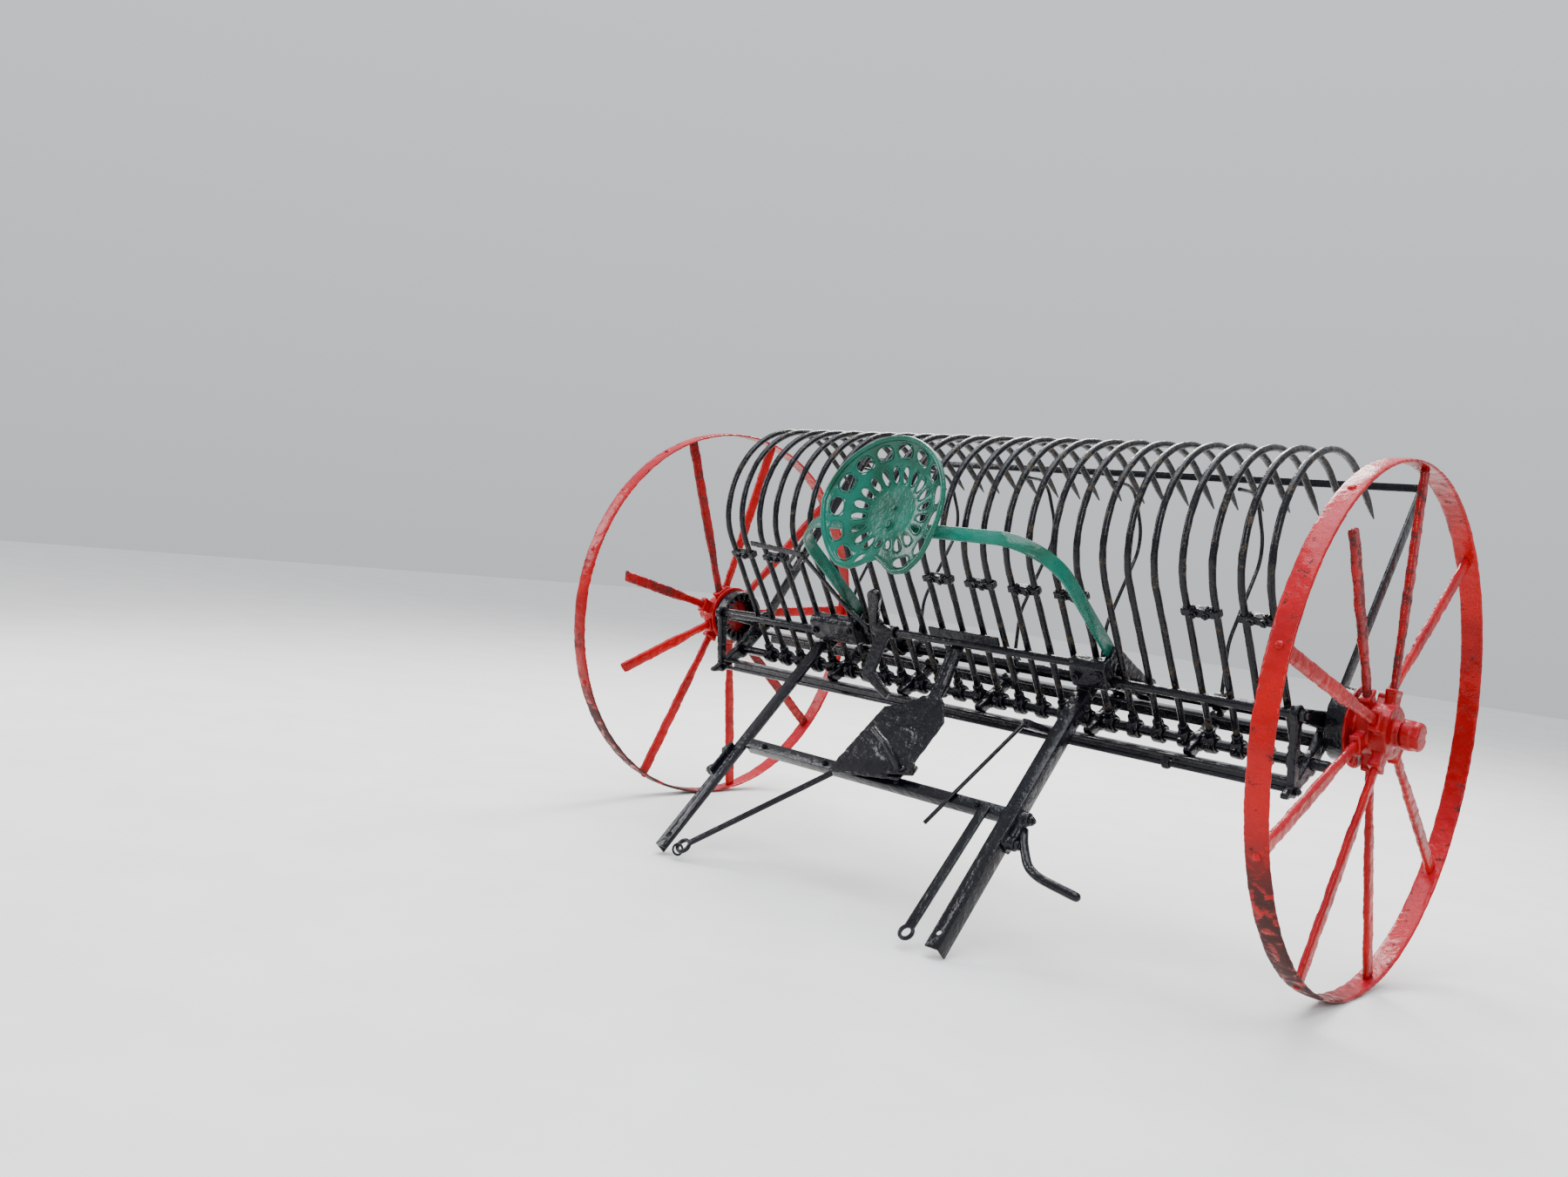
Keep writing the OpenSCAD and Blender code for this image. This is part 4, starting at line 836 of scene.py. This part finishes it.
class HAYRAKE_OT_front(bpy.types.Operator):
    """Bends the round leg, hangs the ring in the draw link's eye and sets the pedal's blade"""
    bl_idname = "hayrake.front"
    bl_label = "Leg, ring and pedal"

    # the bent leg: its middle above the shafts' top faces, the share of a run that a bend takes
    # and its steps, its radius and sides, and distance and radius of its rounded end's rings
    LEG_UP, LEG_BEND, LEG_STEPS = -0.020, 0.42, 10
    LEG_R, LEG_SIDES, LEG_END = 0.0125, 16, ((0.008, 0.0105), (0.012, 0.006))
    # middle of the draw link's eye, and from there to the ring's
    EYE = Vector((-0.446064, -0.720606, 0.0456471))
    TO_RING = Vector((-0.012, -0.010, -0.013))
    RING_ACROSS, RING_TALL = Vector((0.6, 0.45, 0.0)), 1.15
    RING_R, RING_WIRE, RING_SIDES, RING_STEPS = 0.0145, 0.0036, 8, 20
    # the toe of the footplate: its corner by the shafts, slant and fall, and the pedal's place
    TOE_CORNER = Vector((-0.123, -0.457, 0.0003))
    TOE_SLANT, TOE_FALL = math.radians(11.94), math.radians(14)
    PEDAL_PLACE = Vector((0.205, -0.072, 0.0083))
    # the blade: its foot on the pedal, where it points, how high its bend is, how far and how
    # high its tip, then radius, what it loses to the tip and by what power, steps and sides
    BLADE_FOOT = Vector((0.038, 0.019, 0.006))
    BLADE_TURN = math.radians(141)
    BLADE_BEND, BLADE_REACH, BLADE_RISE = 0.092, 0.130, 0.078
    BLADE_R, BLADE_LOSS, BLADE_TAPER, BLADE_STEPS, BLADE_SIDES = 0.0125, 0.0085, 2.5, 18, 14

    def execute(self, context):
        self.leg()
        self.ring()
        self.blade()
        return {"FINISHED"}

    def leg(self):
        corners = [beside_right_shaft(x, y, self.LEG_UP) for x, y in LEG_LINE]
        line = rounded(corners, self.LEG_BEND, self.LEG_STEPS)
        radii = [self.LEG_R] * len(line)
        end = line[-1]
        ahead = (end - line[-2]).normalized()
        for distance, radius in self.LEG_END:
            line.append(end + ahead * distance)
            radii.append(radius)
        bm = bmesh.new()
        sweep(bm, line, radii, self.LEG_SIDES)
        obj = mesh_object("bent_leg_round", bm)
        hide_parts("bent_leg")
        settle(obj, "frame", "black")

    def ring(self):
        middle = self.EYE + self.TO_RING
        across = self.RING_ACROSS.normalized()
        bm = bmesh.new()
        sweep(bm, [
            middle + (across * math.cos(a) + UP * math.sin(a) * self.RING_TALL) * self.RING_R
            for a in around(self.RING_STEPS)
        ], self.RING_WIRE, self.RING_SIDES, closed=True)
        settle(mesh_object("draw_ring", bm), "frame", "black")

    def blade(self):
        foot = self.BLADE_FOOT
        bend = foot + UP * self.BLADE_BEND
        away = Vector((math.cos(self.BLADE_TURN), math.sin(self.BLADE_TURN), 0.0))
        tip = foot + away * self.BLADE_REACH + UP * self.BLADE_RISE
        steps = [i / self.BLADE_STEPS for i in range(self.BLADE_STEPS + 1)]
        line = [self.on_toe(foot.lerp(bend, t).lerp(bend.lerp(tip, t), t)) for t in steps]
        bm = bmesh.new()
        radii = [self.BLADE_R - self.BLADE_LOSS * t ** self.BLADE_TAPER for t in steps]
        sweep(bm, line, radii, self.BLADE_SIDES)
        settle(mesh_object("pedal_blade", bm), "frame", "cast black")

    def on_toe(self, place):
        """A place by the pedal, on the slanting toe of the footplate"""
        turned = Matrix.Rotation(self.TOE_SLANT, 3, "Z") @ Matrix.Rotation(-self.TOE_FALL, 3, "X")
        x, y, z = self.TOE_CORNER + turned @ (self.PEDAL_PLACE + place)
        return by_shaft(x, -y, z)


class HAYRAKE_OT_rivets(bpy.types.Operator):
    """Sets a rivet head on the tread over each spoke"""
    bl_idname = "hayrake.rivets"
    bl_label = "Rim rivets"

    # shape of a head: share of its radius, and height; how deep it sits in the tread; its sides
    HEAD = ((1, 0.0), (0.98, 0.0012), (0.8, 0.0036), (0.45, 0.0052))
    SUNK, SIDES = 0.0006, 14

    def execute(self, context):
        r = context.scene.hayrake_sizes.rivet_r
        profile = [(r * share, height) for share, height in self.HEAD]
        for side, sign, rivets in (("right", 1, RIVETS_RIGHT), ("left", -1, RIVETS_LEFT)):
            centre = Vector((sign * RIM_X, AXLE_Y, WHEEL_R))
            outward = [Vector((0.0, *toward(math.radians(angle)))) for angle in rivets]
            places = [(centre + out * (WHEEL_R - self.SUNK), out, 1.0) for out in outward]
            name, body = "rim_rivets_" + side, "wheel_" + side
            obj = scatter(name, places, profile, self.SIDES, body, "red")
            for face in obj.data.polygons:
                face.use_smooth = True
        return {"FINISHED"}


class HAYRAKE_OT_nuts(bpy.types.Operator):
    """Sets nuts on the castings, clips, clamps, shafts and beams"""
    bl_idname = "hayrake.nuts"
    bl_label = "Nuts and bolts"

    # shape of a nut and its bolt's end: share of its radius, and height
    NUT = ((1, 0.0), (1, 0.0075), (0.9, 0.009), (0.55, 0.0091), (0.52, 0.0135), (0.4, 0.0145))
    # on a clip's front and its top: across from its middle, up the legs, in front, and scale
    CLIP_FRONT, CLIP_TOP = (0.017, 0.420, TOOTH_R + 0.004, 0.95), (0.021, 0.431, 0.004, 0.7)
    # on a tooth's foot: up the leg, in front, and scale
    FOOT = (0.012, 0.025, 0.8)
    # rods in the end castings, with the nuts' scale; the last has no nut on the right
    RODS = ((by_leg(0, TRIP_ALONG, TRIP_FRONT), 1.4), (LOW_ROD, 1.0), (TOOTH_PLACE, 1.52))
    # on the hangers: behind the axle, and height
    HANGER_ROWS, HANGER_TOP, HANGER_SCALE = (-0.038, 0.006), 0.650, 0.85
    # on the sides of the shaft heads: along the shaft, out from its middle, above its top face
    HEAD_ROWS, HEAD_OUT, HEAD_UP, HEAD_SCALE = (0.075, 0.130), 0.0225, -0.026, 0.95
    # on the front of the heads and of the arch's feet: up the legs, and in front of them
    HEAD_BOLT, FOOT_BOLT, BOLT_SCALE = (0.196, 0.061), (0.214, 0.061), 1.1
    # on the clamps: start of each along its shaft, rows, out from the shaft, above its top face
    RIGHT_CLAMP, LEFT_CLAMP, CLAMP_ROWS = 0.455, 0.500, (0.019, 0.101)
    CLAMP_OUT, CLAMP_UP, CLAMP_SCALE = 0.0223 + 0.034, -0.017, 1.1
    # on the crossbar: across, along the shafts
    BAR_ROWS, BAR_ALONG, BAR_SCALE = (-0.42, -0.16, 0.12, 0.40), 0.478, 0.8

    def execute(self, context):
        r = context.scene.hayrake_sizes.bolt_r
        nut = [(r * share, height) for share, height in self.NUT]
        for name, body, places in (
            ("clip_nuts", "rake_head", self.clips()), ("foot_nuts", "rake_head", self.feet()),
            ("frame_nuts", "frame", self.frame_places()),
        ):
            scatter(name, places, nut, 6, body, "cast black")
        return {"FINISHED"}

    def clips(self):
        """Two bolt heads on the front of each clip, and one at each end of its top"""
        up = Vector((0.0, -math.sin(TOOTH_LEAN), math.cos(TOOTH_LEAN)))
        for k in CLIP_PAIRS:
            for end in (-1, 1):
                for nut, facing in ((self.CLIP_FRONT, LEG_FRONT), (self.CLIP_TOP, up)):
                    across, along, front, scale = nut
                    yield by_leg(place_x(k + 0.5) + end * across, along, front), facing, scale

    def feet(self):
        """The set screw of each tooth, in front of its foot"""
        along, front, scale = self.FOOT
        for k in range(TOOTH_COUNT):
            yield by_leg(place_x(k), along, front), LEG_FRONT, scale

    def frame_places(self):
        """End castings, hangers, shaft heads with the arch's feet, clamps and crossbar"""
        for end, side, rods in ((CASTING_RIGHT, 1, self.RODS[:2]), (CASTING_LEFT, -1, self.RODS)):
            for place, scale in rods:
                yield Vector((end, place.y, place.z)), Vector((side, 0, 0)), scale
        for gap in HANGER_GAPS:
            for y in self.HANGER_ROWS:
                yield Vector((place_x(gap), AXLE_Y + y, self.HANGER_TOP)), UP, self.HANGER_SCALE
        for side, head, foot in ((1, RIGHT_SHAFT, RIGHT_FOOT), (-1, LEFT_SHAFT, LEFT_FOOT)):
            x, out = place_x(head), Vector((side, 0, 0))
            for along in self.HEAD_ROWS:
                yield by_shaft(x + side * self.HEAD_OUT, along, self.HEAD_UP), out, self.HEAD_SCALE
            yield by_leg(x, *self.HEAD_BOLT), LEG_FRONT, self.BOLT_SCALE
            yield by_leg(place_x(foot), *self.FOOT_BOLT), LEG_FRONT, self.BOLT_SCALE
        for side, shaft, start in (
            (-1, LEFT_SHAFT, self.LEFT_CLAMP), (1, RIGHT_SHAFT, self.RIGHT_CLAMP),
        ):
            for row in self.CLAMP_ROWS:
                out = self.CLAMP_OUT + (start + row) * math.tan(SHAFT_SPLAY)
                place = by_shaft(place_x(shaft) + side * out, start + row, self.CLAMP_UP)
                yield place, Vector((side, 0, 0)), self.CLAMP_SCALE
        for x in self.BAR_ROWS:
            yield by_shaft(x, self.BAR_ALONG, 0.0), SHAFT_UP, self.BAR_SCALE


class HAYRAKE_OT_stage(bpy.types.Operator):
    """Lays the pale floor, and sets the soft lights and the camera"""
    bl_idname = "hayrake.stage"
    bl_label = "Stage"

    FLOOR_HALF, FLOOR_CELLS, FLOOR_ROUGHNESS = 14.0, 8, 0.75
    PALE, PALER = (0.80, 0.79, 0.77), (0.85, 0.84, 0.82)
    # soft lights: name, place, height of what they face, size, power and colour
    LIGHTS = (
        ("key", (-2.2, 3.4, 5.0), 0.6, 3.0, 560.0, (1.0, 0.98, 0.95)),
        ("sky", (0.6, -0.6, 6.0), 0.6, 4.4, 400.0, (0.88, 0.94, 1.0)),
        ("fill", (4.6, -4.4, 3.4), 0.7, 2.2, 170.0, (0.95, 0.97, 1.0)),
        ("side", (-4.8, -2.6, 3.0), 0.7, 2.4, 150.0, (0.95, 0.97, 1.0)),
    )
    SKY = (0.86, 0.89, 0.93, 1.0)
    # the light from around, by the upward part of its direction
    SKY_LIGHT = {"From Min": -0.4, "From Max": 0.7, "To Min": 0.58, "To Max": 1.15}
    # the camera's place, and how it is turned
    EYE = Vector((2.42124, -3.37065, 0.97924))
    YAW, PITCH, ROLL = 0.77094, 0.03394, -0.1165
    FOCAL_PX, FRAME_PX, SENSOR = 1504.8, 1800.0, 36.0
    FARTHEST = 100.0

    def execute(self, context):
        bm = bmesh.new()
        bmesh.ops.create_grid(
            bm, x_segments=self.FLOOR_CELLS, y_segments=self.FLOOR_CELLS, size=self.FLOOR_HALF)
        floor = mesh_object("floor", bm, smooth=False)
        f = Finish("studio_floor")
        shade = f.mix(f.band(f.noise(3.0, 5.0), 0.3, 0.7), self.PALE, self.PALER)
        grain = f.bump(f.noise(180.0, 3.0), 0.0008, 0.4)
        floor.data.materials.append(f.done(shade, self.FLOOR_ROUGHNESS, grain))
        for light in self.LIGHTS:
            self.light(*light)
        self.surroundings(context)
        self.camera(context)
        return {"FINISHED"}

    def light(self, name, place, target_height, size, power, colour):
        data = bpy.data.lights.new(name, "AREA")
        data.size, data.energy, data.color = size, power, colour
        obj = new_object(name, data)
        obj.location = place
        way = Vector((0.0, 0.0, target_height)) - Vector(place)
        obj.rotation_euler = way.to_track_quat("-Z", "Y").to_euler()

    def surroundings(self, context):
        """Pale light that is brighter above than at the sides"""
        world = bpy.data.worlds.new("studio")
        world.use_nodes = True
        sky = Tree(world.node_tree)
        way = sky.node("ShaderNodeTexCoord").outputs["Generated"]
        up = sky.node("ShaderNodeSeparateXYZ", {0: way}).outputs["Z"]
        light = sky.node("ShaderNodeMapRange", {"Value": up, **self.SKY_LIGHT})
        shade = world.node_tree.nodes["Background"]
        sky.fill(shade.inputs[0], self.SKY)
        sky.fill(shade.inputs[1], light.outputs["Result"])
        context.scene.world = world

    def camera(self, context):
        cp, sp = math.cos(self.PITCH), math.sin(self.PITCH)
        cy, sy = math.cos(self.YAW), math.sin(self.YAW)
        forward = Vector((-sy * cp, cy * cp, -sp))
        level_right = Vector((cy, sy, 0.0))
        level_down = forward.cross(level_right)
        c, s = math.cos(self.ROLL), math.sin(self.ROLL)
        right = level_right * c + level_down * s
        down = level_down * c - level_right * s
        data = bpy.data.cameras.new("camera")
        data.sensor_width = self.SENSOR
        data.lens = self.SENSOR * self.FOCAL_PX / self.FRAME_PX
        data.clip_end = self.FARTHEST
        obj = new_object("camera", data)
        turned = Matrix((right, -down, -forward)).transposed().to_4x4()
        obj.matrix_world = Matrix.Translation(self.EYE) @ turned
        context.scene.camera = obj


class HAYRAKE_PT_panel(bpy.types.Panel):
    """Lists the steps that dress the rake"""
    bl_label = "Hay Rake"
    bl_idname = "HAYRAKE_PT_panel"
    bl_space_type = "VIEW_3D"
    bl_region_type = "UI"
    bl_category = "Hay Rake"

    def draw(self, context):
        layout = self.layout
        for group in (context.scene.hayrake_look, context.scene.hayrake_sizes):
            for name in group.__annotations__:
                layout.prop(group, name)
        for step in STEPS:
            layout.operator(step.bl_idname)


STEPS = (
    HAYRAKE_OT_paint, HAYRAKE_OT_castings, HAYRAKE_OT_irons, HAYRAKE_OT_teeth, HAYRAKE_OT_seat,
    HAYRAKE_OT_front, HAYRAKE_OT_rivets, HAYRAKE_OT_nuts, HAYRAKE_OT_stage,
)
CLASSES = (RakeLook, RakeSizes, *STEPS, HAYRAKE_PT_panel)


def register():
    for cls in CLASSES:
        bpy.utils.register_class(cls)
    bpy.types.Scene.hayrake_look = bpy.props.PointerProperty(type=RakeLook)
    bpy.types.Scene.hayrake_sizes = bpy.props.PointerProperty(type=RakeSizes)


def unregister():
    del bpy.types.Scene.hayrake_sizes
    del bpy.types.Scene.hayrake_look
    for cls in reversed(CLASSES):
        bpy.utils.unregister_class(cls)


def main():
    register()
    for step in STEPS:
        group, name = step.bl_idname.split(".")
        getattr(getattr(bpy.ops, group), name)()


if __name__ == "__main__":
    main()
